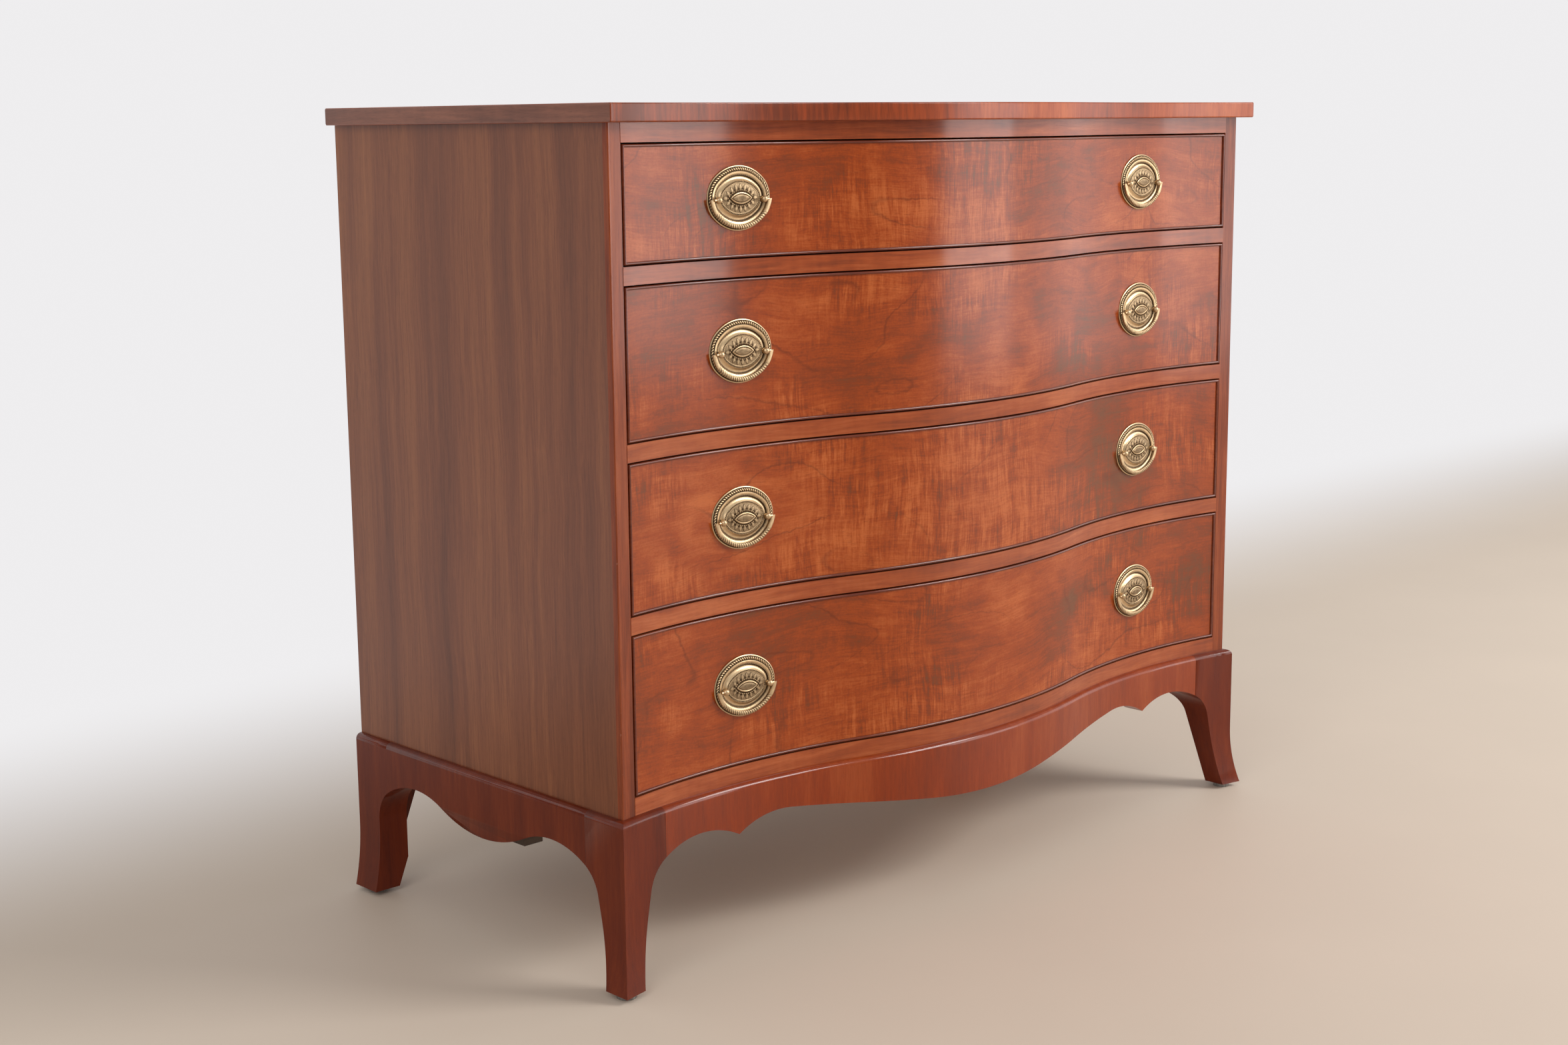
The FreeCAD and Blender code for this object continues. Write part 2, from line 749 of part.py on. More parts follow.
def build_elevation(name, role, outline, length, start=None):
    """Raise an outline of the base into a long prism."""
    body = add_body(name)
    sketch = add_sketch(body, f"{name}_outline", role)
    draw_outline(sketch, outline)
    pad(body, sketch, length)
    if start:
        body.setExpression("Placement.Base.y", start)
    return body


def build_base():
    through = "2 * Sizes.side_depth"
    beyond = "1.5 * Sizes.side_depth"
    front = build_elevation("front_elevation", "XZ_Plane", front_outline(), through, beyond)
    back = build_elevation("back_elevation", "XZ_Plane", back_outline(), through, beyond)
    side = build_elevation("side_elevation", "YZ_Plane", side_outline(), "Sizes.case_width")

    turned = add_body("foot_sweep")
    profile = add_sketch(turned, "foot_profile", "YZ_Plane")
    draw_outline(profile, foot_profile())
    sweep = turned.newObject("PartDesign::Revolution", "foot_turn")
    sweep.Profile = profile
    sweep.ReferenceAxis = (profile, ["V_Axis"])
    sweep.Angle = 30
    sweep.Reversed = True
    turned.setExpression("Placement.Base.x", "Worked.hollow_x")
    turned.setExpression("Placement.Base.y", "-Worked.hollow_ahead")

    reach = "Sizes.case_width"
    foot_block = box(
        "front_foot_block",
        ("Worked.front_seam_x", "-Sizes.side_depth", "0"),
        (reach, "Sizes.side_depth + Worked.side_seam_y", "Sizes.base_top"),
    )
    apron_block = box(
        "side_apron_block",
        ("Worked.apron_inner_x", "Worked.side_seam_y", "0"),
        (reach, "Worked.back_seam_y - Worked.side_seam_y", "Sizes.base_top"),
    )
    back_block = box(
        "back_foot_block",
        ("Worked.back_seam_x", "Worked.back_seam_y", "0"),
        (reach, "Sizes.side_depth", "Sizes.base_top"),
    )
    back_hollow = box(
        "back_foot_hollow",
        ("Worked.back_seam_x", "0", "0"),
        (
            "Sizes.back_foot_back_width - Sizes.back_post_width",
            "Sizes.side_depth - Sizes.back_bracket_thickness",
            "Sizes.base_top",
        ),
    )
    front_foot = common("front_foot", [front, side, turned, foot_block])
    side_apron = common("side_apron", [front, side, apron_block])
    back_foot = cut("back_foot", common("back_foot_solid", [back, side, back_block]), back_hollow)
    for solid, name in ((front_foot, "foot_front"), (back_foot, "foot_back"), (side_apron, "apron")):
        seat(solid)
        right = f"right_{name}" if name == "apron" else f"{name}_right"
        left = f"left_{name}" if name == "apron" else f"{name}_left"
        node(solid, right)
        node(mirror(solid, left), left)

    rail_block = box(
        "back_rail_block",
        ("-Worked.back_seam_x", "Sizes.side_depth - Sizes.back_bracket_thickness", "0"),
        ("2 * Worked.back_seam_x", "Sizes.back_bracket_thickness", "Sizes.base_top"),
    )
    back_rail = common("back_base_rail", [back, rail_block])
    seat(back_rail)
    node(back_rail, "back_base_rail")

    plan = add_body("front_apron_plan")
    strip = curved_strip(plan, "front_apron_strip", "apron_face", "apron_back", "front_seam_x")
    pad(plan, strip, "Sizes.base_top")
    blank = common("front_apron_blank", [plan, front])
    doc.recompute()
    apron = doc.addObject("Part::Fillet", "front_apron")
    apron.Base = blank
    nose = worth("nose_radius")
    apron.Edges = [(number, nose, nose) for number in nose_edges(blank.Shape)]
    seat(apron)
    node(apron, "front_apron")

    build_glides()
    build_blocks()


def nose_edges(shape):
    """Find the top front arcs of the front apron."""
    found = []
    for number, edge in enumerate(shape.Edges, start=1):
        level = edge.BoundBox.ZLength < CLOSE and abs(edge.BoundBox.ZMax - worth("base_top")) < CLOSE
        if level and follows_front(edge, "apron_face"):
            found.append(number)
    return found


def build_glides():
    """Round glides under the middles of the four feet."""
    tip = worth("base_half") + worth("flare")
    *_, front_bottom = knee(
        at(worth("base_half") - worth("arch_inset"), worth("base_top") - worth("front_arch_drop")),
        worth("splay_angle"),
    )
    *_, side_bottom = knee(
        at(worth("base_projection") - worth("arch_inset"), worth("base_top") - worth("side_arch_drop")),
        worth("splay_angle"),
    )
    *_, back_bottom = knee(
        at(worth("side_depth") - worth("back_arch_inset"), worth("base_top") - worth("side_arch_drop")), 0
    )
    front_tip = -worth("base_projection") - worth("flare")
    places = (
        ((tip + front_bottom.x) / 2, (front_tip - side_bottom.x) / 2),
        (tip - worth("back_foot_width") / 2, (back_bottom.x + worth("side_depth")) / 2),
    )
    glides = []
    for number, (x, y) in enumerate(places, start=1):
        glide = doc.addObject("Part::Cylinder", f"glide_{number}")
        glide.setExpression("Radius", "Sizes.glide_diameter / 2")
        glide.setExpression("Height", "Sizes.glide_height")
        glide.Placement.Base = FreeCAD.Vector(x, y + worth("corner_y"), 0)
        glides += [glide, mirror(glide, f"glide_{number}_left")]
    node(group("floor_glides", glides), "floor_glides")


def build_blocks():
    """Glue blocks behind the side aprons and the back rail, under the bottom board."""
    bottom = "Sizes.base_top - Sizes.block_height"
    side = case_box(
        "side_block",
        ("Worked.apron_inner_x - Sizes.block_thickness", "Sizes.block_setback", bottom),
        ("Sizes.block_thickness", "Sizes.block_length", "Sizes.block_height"),
    )
    back = case_box(
        "back_block",
        (
            "-Sizes.block_length / 2",
            "Sizes.side_depth - Sizes.back_bracket_thickness - Sizes.block_thickness",
            "Sizes.base_top - Sizes.back_rail_height",
        ),
        ("Sizes.block_length", "Sizes.block_thickness", "Sizes.back_rail_height"),
    )
    node(group("glue_blocks", [side, mirror(side, "side_block_left"), back]), "glue_blocks")


# Drawers


def pull_spots(drawer):
    """Place of each pull's own frame on a drawer front: middle, and the turn of the front there."""
    x = worth("pull_x")
    lean = math.asin((worth("hollow_x") - x) / worth("hollow_radius"))
    radius = worth("hollow_radius") - worth("front_face")
    y = radius * math.cos(lean) - worth("hollow_ahead") + worth("corner_y")
    x = worth("hollow_x") - radius * math.sin(lean)
    z = worth(f"floor_{drawer}") + worth(f"opening_{drawer}") / 2 + worth("pull_raise")
    for name, sign in both_sides():
        turn = FreeCAD.Rotation(FreeCAD.Vector(0, 0, 1), sign * math.degrees(lean))
        yield name, FreeCAD.Placement(FreeCAD.Vector(sign * x, y, z), turn)


def build_drawer(drawer):
    name = f"drawer_{drawer}"
    floor = f"Worked.floor_{drawer}"
    opening = f"Sizes.opening_{drawer}"
    beads = build_beads(name, floor, opening)
    tails = build_tails(name, floor, worth(f"opening_{drawer}"))
    build_front(drawer, floor, opening, [tails] + beads)
    build_tray(name, floor, opening, tails)


def build_beads(name, floor, opening):
    """Bead strips round a drawer front; gives back the end strips."""
    strips = []
    levels = (("low", "Sizes.drawer_gap"), ("high", f"{opening} - Worked.edge_gap"))
    for edge, rise in levels:
        strip = add_body(f"{name}_bead_{edge}")
        plan = curved_strip(strip, f"{name}_bead_{edge}_plan", "bead_face", "front_back", "bead_end")
        pad(strip, plan, "Sizes.bead_width")
        bevel_bead(strip)
        seat(strip, f"{floor} + {rise}")
        strips.append(strip)
    upright = add_body(f"{name}_bead_upright")
    pad(upright, bead_upright(upright, f"{name}_bead_upright_plan"), f"{opening} - 2 * Worked.edge_gap")
    bevel_bead(upright)
    seat(upright, f"{floor} + Worked.edge_gap")
    ends = [upright, mirror(upright, f"{name}_bead_upright_left")]
    node(group(f"{name}_bead", strips + ends), f"{name}_bead")
    return ends


def bevel_bead(body):
    """Bevel the long front edges of a bead strip."""
    doc.recompute()
    strip = body.Tip
    picked = [
        f"Edge{number}"
        for number, edge in enumerate(strip.Shape.Edges, start=1)
        if edge.Length > 2 * worth("bead_width") and follows_front(edge, "bead_face")
    ]
    chamfer = body.newObject("PartDesign::Chamfer", f"{body.Name}_bevel")
    chamfer.Base = (strip, picked)
    chamfer.setExpression("Size", "Sizes.bead_bevel")


def build_tails(name, floor, opening):
    """Dovetails of the right-hand drawer side, which lap into the back of the front."""
    body = add_body(f"{name}_tails")
    sketch = add_sketch(body, f"{name}_tail_outline", "YZ_Plane")
    room = opening - 2 * worth("edge_gap") - 2 * worth("edge_pin")
    width = (room - 2 * worth("pin_width")) / 3
    end = worth("tail_y")
    run = worth("tail_length") + worth("drawer_side_thickness") / 2
    narrowing = run * math.tan(math.radians(worth("tail_slope")))
    for number in range(3):
        low = worth("edge_pin") + number * (width + worth("pin_width"))
        corners = [
            at(end, low),
            at(end + run, low + narrowing),
            at(end + run, low + width - narrowing),
            at(end, low + width),
        ]
        draw_free(sketch, ring(corners))
    pad(body, sketch, "Sizes.drawer_side_thickness")
    body.setExpression("Placement.Base.x", "Worked.drawer_inner")
    seat(body, f"{floor} + Worked.edge_gap")
    return body


def build_front(drawer, floor, opening, lodged):
    """Drawer front, cut for the pieces lodged in it, the bottom's groove and the pull posts."""
    name = f"drawer_{drawer}"
    blank = add_body(f"{name}_front_blank")
    plan = curved_strip(blank, f"{name}_front_plan", "front_face", "front_back", "bead_end")
    pad(blank, plan, f"{opening} - 2 * Worked.edge_gap")
    seat(blank, f"{floor} + Worked.edge_gap")
    slot = add_body(f"{name}_slot")
    groove = curved_strip(slot, f"{name}_groove_plan", "front_groove", "front_back", "groove_end")
    pad(slot, groove, "Sizes.bottom_thickness")
    seat(slot, f"{floor} + Sizes.running_gap + Sizes.bottom_rise")
    holes = []
    for side, spot in pull_spots(drawer):
        for place, way in both_sides():
            hole = doc.addObject("Part::Cylinder", f"{name}_{side}_{place}_hole")
            hole.setExpression("Radius", "Sizes.shank_diameter / 2 + Sizes.shank_fit")
            hole.setExpression("Height", "3 * Sizes.front_thickness")
            start = FreeCAD.Vector(way * worth("post_spacing") / 2, -worth("front_thickness"), -worth("post_drop"))
            hole.Placement = spot.multiply(FreeCAD.Placement(start, INWARD))
            holes.append(hole)
    twin_tails = mirror(lodged[0], f"{name}_tails_left")
    cuts = fuse(f"{name}_front_cuts", [slot, twin_tails] + lodged + holes)
    node(cut(f"{name}_front", blank, cuts), f"{name}_front")


def build_tray(name, floor, opening, tails):
    """Sides, back and bottom of a drawer."""
    under = f"{floor} + Sizes.running_gap"
    lift = "(Sizes.bottom_rise + Sizes.bottom_thickness)"
    clear = f"{opening} - Sizes.running_gap - Sizes.drawer_gap"
    board = add_body(f"{name}_side_blank")
    side_plan = f"{name}_side_plan"
    plan = hollow_board(board, side_plan, "front_back", "drawer_inner", "drawer_outer", "drawer_rear")
    pad(board, plan, f"{clear} - Sizes.drawer_side_drop")
    seat(board, under)
    channel = case_box(
        f"{name}_side_groove",
        ("Worked.drawer_inner", "0", f"{under} + Sizes.bottom_rise"),
        ("Sizes.groove_depth", "Sizes.side_depth", "Sizes.bottom_thickness"),
    )
    side = cut(f"{name}_side", fuse(f"{name}_tailed_side", [board, tails]), channel)
    node(group(f"{name}_sides", [side, mirror(side, f"{name}_side_left")]), f"{name}_sides")

    back = case_box(
        f"{name}_back",
        (
            "-Worked.drawer_inner",
            "Worked.drawer_rear - Sizes.drawer_back_thickness",
            f"{under} + {lift}",
        ),
        (
            "2 * Worked.drawer_inner",
            "Sizes.drawer_back_thickness",
            f"{clear} - {lift} - Sizes.drawer_back_drop",
        ),
    )
    node(back, f"{name}_back")

    panel = add_body(f"{name}_bottom")
    plan = curved_board(panel, f"{name}_bottom_plan", "front_groove", "groove_end", "drawer_rear")
    pad(panel, plan, "Sizes.bottom_thickness")
    seat(panel, f"{under} + Sizes.bottom_rise")
    node(panel, f"{name}_bottom")


def bead_upright(body, name):
    """Plan of the right-hand bead strip, with both ends on the front's own arcs."""
    sketch = add_sketch(body, name, "XY_Plane")
    hollow_x = worth("hollow_x")
    ahead = worth("hollow_ahead")
    arcs = []
    for face in ("bead_face", "bead_back"):
        radius = worth("hollow_radius") - worth(face)
        first, last = (
            90 - math.degrees(math.asin((worth(place) - hollow_x) / radius))
            for place in ("bead_end", "front_end")
        )
        index = sketch.addGeometry(arc_of(at(hollow_x, -ahead), radius, first, last))
        hold(sketch, "Radius", (index,), radius, f"Sizes.hollow_radius - {cell(face)}")
        hold(sketch, "DistanceX", (-1, 1, index, 3), hollow_x, "Worked.hollow_x")
        hold(sketch, "DistanceY", (index, 3, -1, 1), ahead, "Worked.hollow_ahead")
        hold(sketch, "DistanceX", (-1, 1, index, 1), worth("bead_end"), "Worked.bead_end")
        hold(sketch, "DistanceX", (-1, 1, index, 2), worth("front_end"), "Worked.front_end")
        arcs.append(index)
    join(sketch, arcs[0], 1, arcs[1], 1)
    join(sketch, arcs[0], 2, arcs[1], 2)
    return sketch


# Pulls, drawn in their own frame: x along the front, z up, and -y out of the drawer

INWARD = FreeCAD.Rotation(FreeCAD.Vector(1, 0, 0), -90)
OUTWARD = FreeCAD.Rotation(FreeCAD.Vector(1, 0, 0), 90)


def plate_lift():
    """Height of a flat plate's back over the hollow front, where its two ends touch."""
    radius = worth("hollow_radius") - worth("front_face")
    return radius - math.sqrt(radius**2 - worth("plate_half") ** 2) + worth("plate_seat")


def oval_arcs():
    """Centres, radii and joint angle of the plate's oval, made of two end arcs and two long arcs."""
    half_height = worth("plate_height") / 2
    small = worth("plate_end_radius")
    offset = worth("plate_half") - small
    rise = half_height - small
    drop = (offset**2 - rise**2) / (2 * rise)
    return offset, small, drop, half_height + drop, math.degrees(math.atan2(drop, offset))


def draw_oval(sketch, inset):
    """Draw the plate's oval, drawn in by an inset."""
    offset, small, drop, large, joint = oval_arcs()
    small -= inset
    large -= inset
    pieces = [
        arc(at(offset, 0), small, -joint, joint, None),
        arc(at(0, -drop), large, joint, 180 - joint, None),
        arc(at(-offset, 0), small, 180 - joint, 180 + joint, None),
        arc(at(0, drop), large, 180 + joint, 360 - joint, None),
    ]
    draw_free(sketch, pieces)


def ring(corners):
    """Straight lines round a ring of corners."""
    return [line(start, end) for start, end in zip(corners, corners[1:] + corners[:1])]


def draw_free(sketch, pieces):
    """Draw a closed outline whose sizes were worked out beforehand."""
    first = sketch.GeometryCount
    for piece in pieces:
        if piece[0] == "line":
            sketch.addGeometry(Part.LineSegment(piece[1], piece[2]))
            continue
        _, centre, radius, start, end, _ = piece
        sketch.addGeometry(arc_of(centre, radius, min(start, end), max(start, end)))
    ends = [(1, 2) if piece[0] == "line" or piece[4] > piece[3] else (2, 1) for piece in pieces]
    for number, (_, last) in enumerate(ends):
        after = (number + 1) % len(pieces)
        meet(sketch, first + number, last, first + after, ends[after][0])


def bevel(body, height, inset, size):
    """Bevel the oval edges of the plate at one height and one inset."""
    doc.recompute()
    raised = body.Tip
    picked = []
    for number, edge in enumerate(raised.Shape.Edges, start=1):
        middle = edge.valueAt((edge.FirstParameter + edge.LastParameter) / 2)
        level = edge.BoundBox.YLength < CLOSE and abs(middle.y + worth(height)) < CLOSE
        if level and abs(plate_inset(middle) - inset) < CLOSE:
            picked.append(f"Edge{number}")
    chamfer = body.newObject("PartDesign::Chamfer", f"{body.Name}_bevel")
    chamfer.Base = (raised, picked)
    chamfer.setExpression("Size", cell(size))


def plate_inset(point):
    """How far a point lies in from the plate's oval edge."""
    offset, small, drop, large, joint = oval_arcs()
    across = abs(point.x)
    up = abs(point.z)
    if math.degrees(math.atan2(up, across - offset)) <= joint and across > offset:
        return small - math.hypot(across - offset, up)
    return large - math.hypot(across, up + drop)


def build_plate():
    """Oval stamped plate: raised rim, sunk channel, medallion and boss."""
    body = add_body("pull_plate_model")
    levels = (
        ("base", None, None, "plate_base"),
        ("rim", None, "rim_width", "rim_height"),
        ("medallion", "medallion_inset", None, "medallion_height"),
        ("boss", "boss_inset", None, "boss_height"),
    )
    for name, outer, inner, height in levels:
        sketch = add_sketch(body, f"plate_{name}", "XZ_Plane")
        draw_oval(sketch, worth(outer) if outer else 0)
        if inner:
            draw_oval(sketch, worth(inner))
        pad(body, sketch, cell(height))
    bevel(body, "rim_height", 0, "rim_bevel")
    bevel(body, "rim_height", worth("rim_width"), "rim_bevel")
    bevel(body, "medallion_height", worth("medallion_inset"), "medallion_bevel")
    bevel(body, "boss_height", worth("boss_inset"), "boss_bevel")
    holes = []
    for place, way in both_sides():
        hole = doc.addObject("Part::Cylinder", f"plate_{place}_hole")
        hole.setExpression("Radius", "Sizes.shank_diameter / 2 + Sizes.shank_fit")
        hole.setExpression("Height", "2 * Sizes.boss_height")
        hole.Placement = FreeCAD.Placement(
            FreeCAD.Vector(way * worth("post_spacing") / 2, worth("plate_base"), -worth("post_drop")), OUTWARD
        )
        holes.append(hole)
    return cut("pull_plate", body, group("plate_holes", holes))


def build_post():
    """Turned post: shank through the front, collar on the plate and a ball that holds the bail."""
    lift = plate_lift()
    seat_at = lift + worth("plate_base")
    shank = worth("shank_diameter") / 2
    collar = worth("collar_diameter") / 2
    neck = seat_at + worth("collar_height")
    pivot = lift + worth("pivot_reach")
    ball = worth("ball_diameter") / 2
    near = ball * math.sin(math.radians(45))
    inside = -worth("front_thickness") - 1.5 * worth("nut_thickness")
    profile = (
        (0, inside),
        (shank, inside),
        (shank, seat_at),
        (collar, seat_at),
        (shank, neck),
        (near, pivot - near),
        (ball, pivot - ball * math.tan(math.radians(22.5))),
        (ball, pivot + ball * math.tan(math.radians(22.5))),
        (near, pivot + near),
        (0, pivot + ball),
    )
    body = add_body("pull_post_model")
    sketch = add_sketch(body, "post_profile", "XY_Plane")
    corners = [at(radius, -height) for radius, height in profile]
    draw_free(sketch, ring(corners))
    turn = body.newObject("PartDesign::Revolution", "post_turn")
    turn.Profile = sketch
    turn.ReferenceAxis = (sketch, ["V_Axis"])
    turn.Angle = 360
    bore = doc.addObject("Part::Cylinder", "post_bore")
    bore.setExpression("Radius", "Sizes.pin_diameter / 2 + Sizes.pin_fit")
    bore.setExpression("Height", "2 * Sizes.ball_diameter")
    bore.Placement = FreeCAD.Placement(
        FreeCAD.Vector(-worth("ball_diameter"), -pivot, 0), FreeCAD.Rotation(FreeCAD.Vector(0, 1, 0), 90)
    )
    return cut("pull_post", body, bore)


def build_nut():
    """Hexagon nut on the shank, inside the drawer."""
    body = add_body("pull_nut_model")
    sketch = add_sketch(body, "nut_outline", "XZ_Plane")
    radius = worth("nut_diameter") / 2
    corners = [on_circle(at(0, 0), radius, 60 * turn) for turn in range(6)]
    draw_free(sketch, ring(corners))
    hole = sketch.addGeometry(Part.Circle(at(0, 0), FreeCAD.Vector(0, 0, 1), worth("shank_diameter") / 2))
    hold(sketch, "Radius", (hole,), worth("shank_diameter") / 2, "Sizes.shank_diameter / 2 + Sizes.pin_fit")
    pad(body, sketch, "Sizes.nut_thickness")
    return body


def build_bail():
    """Half-oval band with pointed ends and two pins that turn in the posts."""
    body = add_body("bail_model")
    offset, small, drop, large, joint = oval_arcs()
    inner = worth("plate_half") - worth("bail_inner")
    outer = inner - worth("bail_band")
    up = worth("post_drop")
    tip = worth("bail_tip")
    outer_start = math.degrees(math.asin(up / (small - outer)))
    inner_start = math.degrees(math.asin(up / (small - inner)))
    outer_half = offset + math.sqrt((small - outer) ** 2 - up**2)
    inner_half = offset + math.sqrt((small - inner) ** 2 - up**2)
    point = outer_half + worth("bail_flare")
    pieces = [
        arc(at(-offset, up), small - outer, 180 + outer_start, 180 + joint, None),
        arc(at(0, drop + up), large - outer, 180 + joint, 360 - joint, None),
        arc(at(offset, up), small - outer, -joint, -outer_start, None),
        line(at(outer_half, 0), at(point, tip)),
        line(at(point, tip), at(inner_half, tip)),
        line(at(inner_half, tip), at(inner_half, 0)),
        arc(at(offset, up), small - inner, -inner_start, -joint, None),
        arc(at(0, drop + up), large - inner, 360 - joint, 180 + joint, None),
        arc(at(-offset, up), small - inner, 180 + joint, 180 + inner_start, None),
        line(at(-inner_half, 0), at(-inner_half, tip)),
        line(at(-inner_half, tip), at(-point, tip)),
        line(at(-point, tip), at(-outer_half, 0)),
    ]
    sketch = add_sketch(body, "bail_outline", "XZ_Plane")
    draw_free(sketch, pieces)
    pad(body, sketch, "Sizes.bail_thickness")
    doc.recompute()
    band = body.Tip
    picked = [
        f"Edge{number}"
        for number, edge in enumerate(band.Shape.Edges, start=1)
        if edge.BoundBox.YLength < CLOSE and edge.Curve.TypeId == "Part::GeomCircle"
    ]
    chamfer = body.newObject("PartDesign::Chamfer", "bail_bevel")
    chamfer.Base = (band, picked)
    chamfer.setExpression("Size", "Sizes.bail_bevel")
    pins = []
    for place, way in both_sides():
        pin = doc.addObject("Part::Cylinder", f"bail_{place}_pin")
        pin.setExpression("Radius", "Sizes.pin_diameter / 2")
        pin.setExpression("Height", "Sizes.pin_reach")
        pin.Placement = FreeCAD.Placement(
            FreeCAD.Vector(way * (inner_half + worth("bail_bevel") / 2), -worth("bail_thickness") / 2, 0),
            FreeCAD.Rotation(FreeCAD.Vector(0, 1, 0), -90 * way),
        )
        pins.append(pin)
    return fuse("bail", [body] + pins)


def place_copy(model, name, spot):
    """Set a linked copy of a model at a place."""
    copy = doc.addObject("App::Link", name)
    copy.LinkedObject = model
    copy.Placement = spot
    return copy


def build_pulls():
    plate = build_plate()
    post = build_post()
    nut = build_nut()
    bail = build_bail()
    lift = plate_lift()
    half = worth("post_spacing") / 2
    radius = worth("hollow_radius") - worth("front_back")
    touch = half - worth("nut_diameter") / 2
    inner_rise = radius - math.sqrt(radius**2 - touch**2)
    down = -worth("post_drop")
    shift = lambda x, y, z: FreeCAD.Placement(FreeCAD.Vector(x, y, z), FreeCAD.Rotation())
    nut_face = worth("front_thickness") - inner_rise + worth("nut_thickness")
    pivot_face = -lift - worth("pivot_reach") + worth("bail_thickness") / 2
    for drawer in DRAWERS:
        plates = []
        posts = []
        for side, spot in pull_spots(drawer):
            stem = f"drawer_{drawer}_{side}"
            plates.append(place_copy(plate, f"{stem}_plate", spot.multiply(shift(0, -lift, 0))))
            for place, way in both_sides():
                post_spot = spot.multiply(shift(way * half, 0, down))
                nut_spot = spot.multiply(shift(way * half, nut_face, down))
                posts.append(place_copy(post, f"{stem}_{place}_post", post_spot))
                posts.append(place_copy(nut, f"{stem}_{place}_nut", nut_spot))
            swing = place_copy(bail, f"{stem}_swing", spot.multiply(shift(0, pivot_face, down)))
            node(group(f"{stem}_bail_node", [swing]), f"drawer_{drawer}_{side}_bail")
        node(group(f"drawer_{drawer}_plates", plates), f"drawer_{drawer}_pull_plates")
        node(group(f"drawer_{drawer}_posts", posts), f"drawer_{drawer}_pull_posts")


# Checking and writing


def check_document():
    for item in doc.Objects:
        if {"Invalid", "Error"} & set(item.State):
            raise RuntimeError(f"{item.Label} failed: {item.State}")
    for solid in nodes:
        shape = solid.Shape
        if shape.isNull() or not shape.isValid() or not shape.Solids:
            raise RuntimeError(f"{solid.Label} has no valid solid")


def write_nodes():
    os.makedirs("parts", exist_ok=True)
    for solid in nodes:
        solid.Shape.exportStep(f"parts/{solid.Label}.step")


build_top()
build_sides()
build_rails()
build_inside()
build_base()
for number in DRAWERS:
    build_drawer(number)
build_pulls()
doc.recompute()
check_document()
write_nodes()
print(len(nodes), "pieces written")
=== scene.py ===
import math

import bmesh
import bpy
from bpy.props import FloatProperty, FloatVectorProperty, IntProperty, PointerProperty
from mathutils import Matrix, Vector


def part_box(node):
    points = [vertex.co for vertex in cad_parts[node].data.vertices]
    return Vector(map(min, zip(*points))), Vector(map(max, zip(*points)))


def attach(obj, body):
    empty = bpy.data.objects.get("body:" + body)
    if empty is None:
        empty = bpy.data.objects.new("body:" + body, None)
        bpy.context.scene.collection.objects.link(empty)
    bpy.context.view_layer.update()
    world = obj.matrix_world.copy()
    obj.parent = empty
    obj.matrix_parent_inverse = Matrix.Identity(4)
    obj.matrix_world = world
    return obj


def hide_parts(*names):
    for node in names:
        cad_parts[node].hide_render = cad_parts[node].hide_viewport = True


bl_info = {
    "name": "Serpentine chest of drawers",
    "version": (1, 0, 0),
    "blender": (4, 5, 0),
    "location": "View3D > Sidebar > Chest",
    "description": "Veneers, beads, base and pulls for a serpentine chest of drawers",
    "category": "Object",
}

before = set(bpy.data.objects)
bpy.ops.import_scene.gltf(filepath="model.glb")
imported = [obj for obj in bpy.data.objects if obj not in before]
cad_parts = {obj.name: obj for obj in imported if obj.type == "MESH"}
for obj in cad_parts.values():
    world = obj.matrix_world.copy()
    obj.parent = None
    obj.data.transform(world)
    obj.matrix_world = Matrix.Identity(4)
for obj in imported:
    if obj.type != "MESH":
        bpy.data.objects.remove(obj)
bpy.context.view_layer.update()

MM = 0.001
# Sections of the veneer up a drawer's face
VENEER_ROWS = 48
# Share of its normal from which a face of the top is level, or an end
FLAT = 0.8
# Height of a plate's edge, which the posts' collars sit on
PLATE_BASE = 0.6 * MM
# From the plate's back to where the bright part of a post starts
BRIGHT_FROM = 2.5 * MM
ROPE_SLANT = math.radians(42)
# Shares of a bail's length: plain before its rope, the rope's rise to full depth, a pointed end
ROPE_START, ROPE_RISE, TIP_SHARE = 0.13, 0.04, 0.09
# Depth of the rope's grooves, as a share of the bail's girth
ROPE_GROOVE = 0.34
BAIL_STEPS = 240
# A bail's section: how square it is, how much rounder its rope is, how full the rope's strands are
BAIL_SQUARE, ROPE_ROUND, ROPE_STRAND = 0.55, 0.35, 0.55
# What a bail's ends lose of its sag and of its thickness
TIP_RISE, TIP_THIN = 0.35, 0.4
BAIL_TARNISH, GROOVE_TARNISH = 0.22, 0.75
PLATE_STEPS = 176
# How far the rings of an eye in the veneer reach
EYE_REACH = 1.6
FLOOR_RADIUS = 9
# The floor fades to white from and to these distances, behind the chest and all round it
FADE_BEHIND = (0.3, 1.3)
FADE_AROUND = (4.0, 8.0)
# White of the background
PAPER = (0.86, 0.85, 0.86)
DRAWERS = (1, 2, 3, 4)
SIDES = (("left", -1), ("right", 1))
RAILS = ("top_rail", "divider_rail_1", "divider_rail_2", "divider_rail_3", "bottom_rail")
FEET = ("foot_front_left", "foot_front_right", "foot_back_left", "foot_back_right")
SIDE_APRONS = ("left_apron", "right_apron")

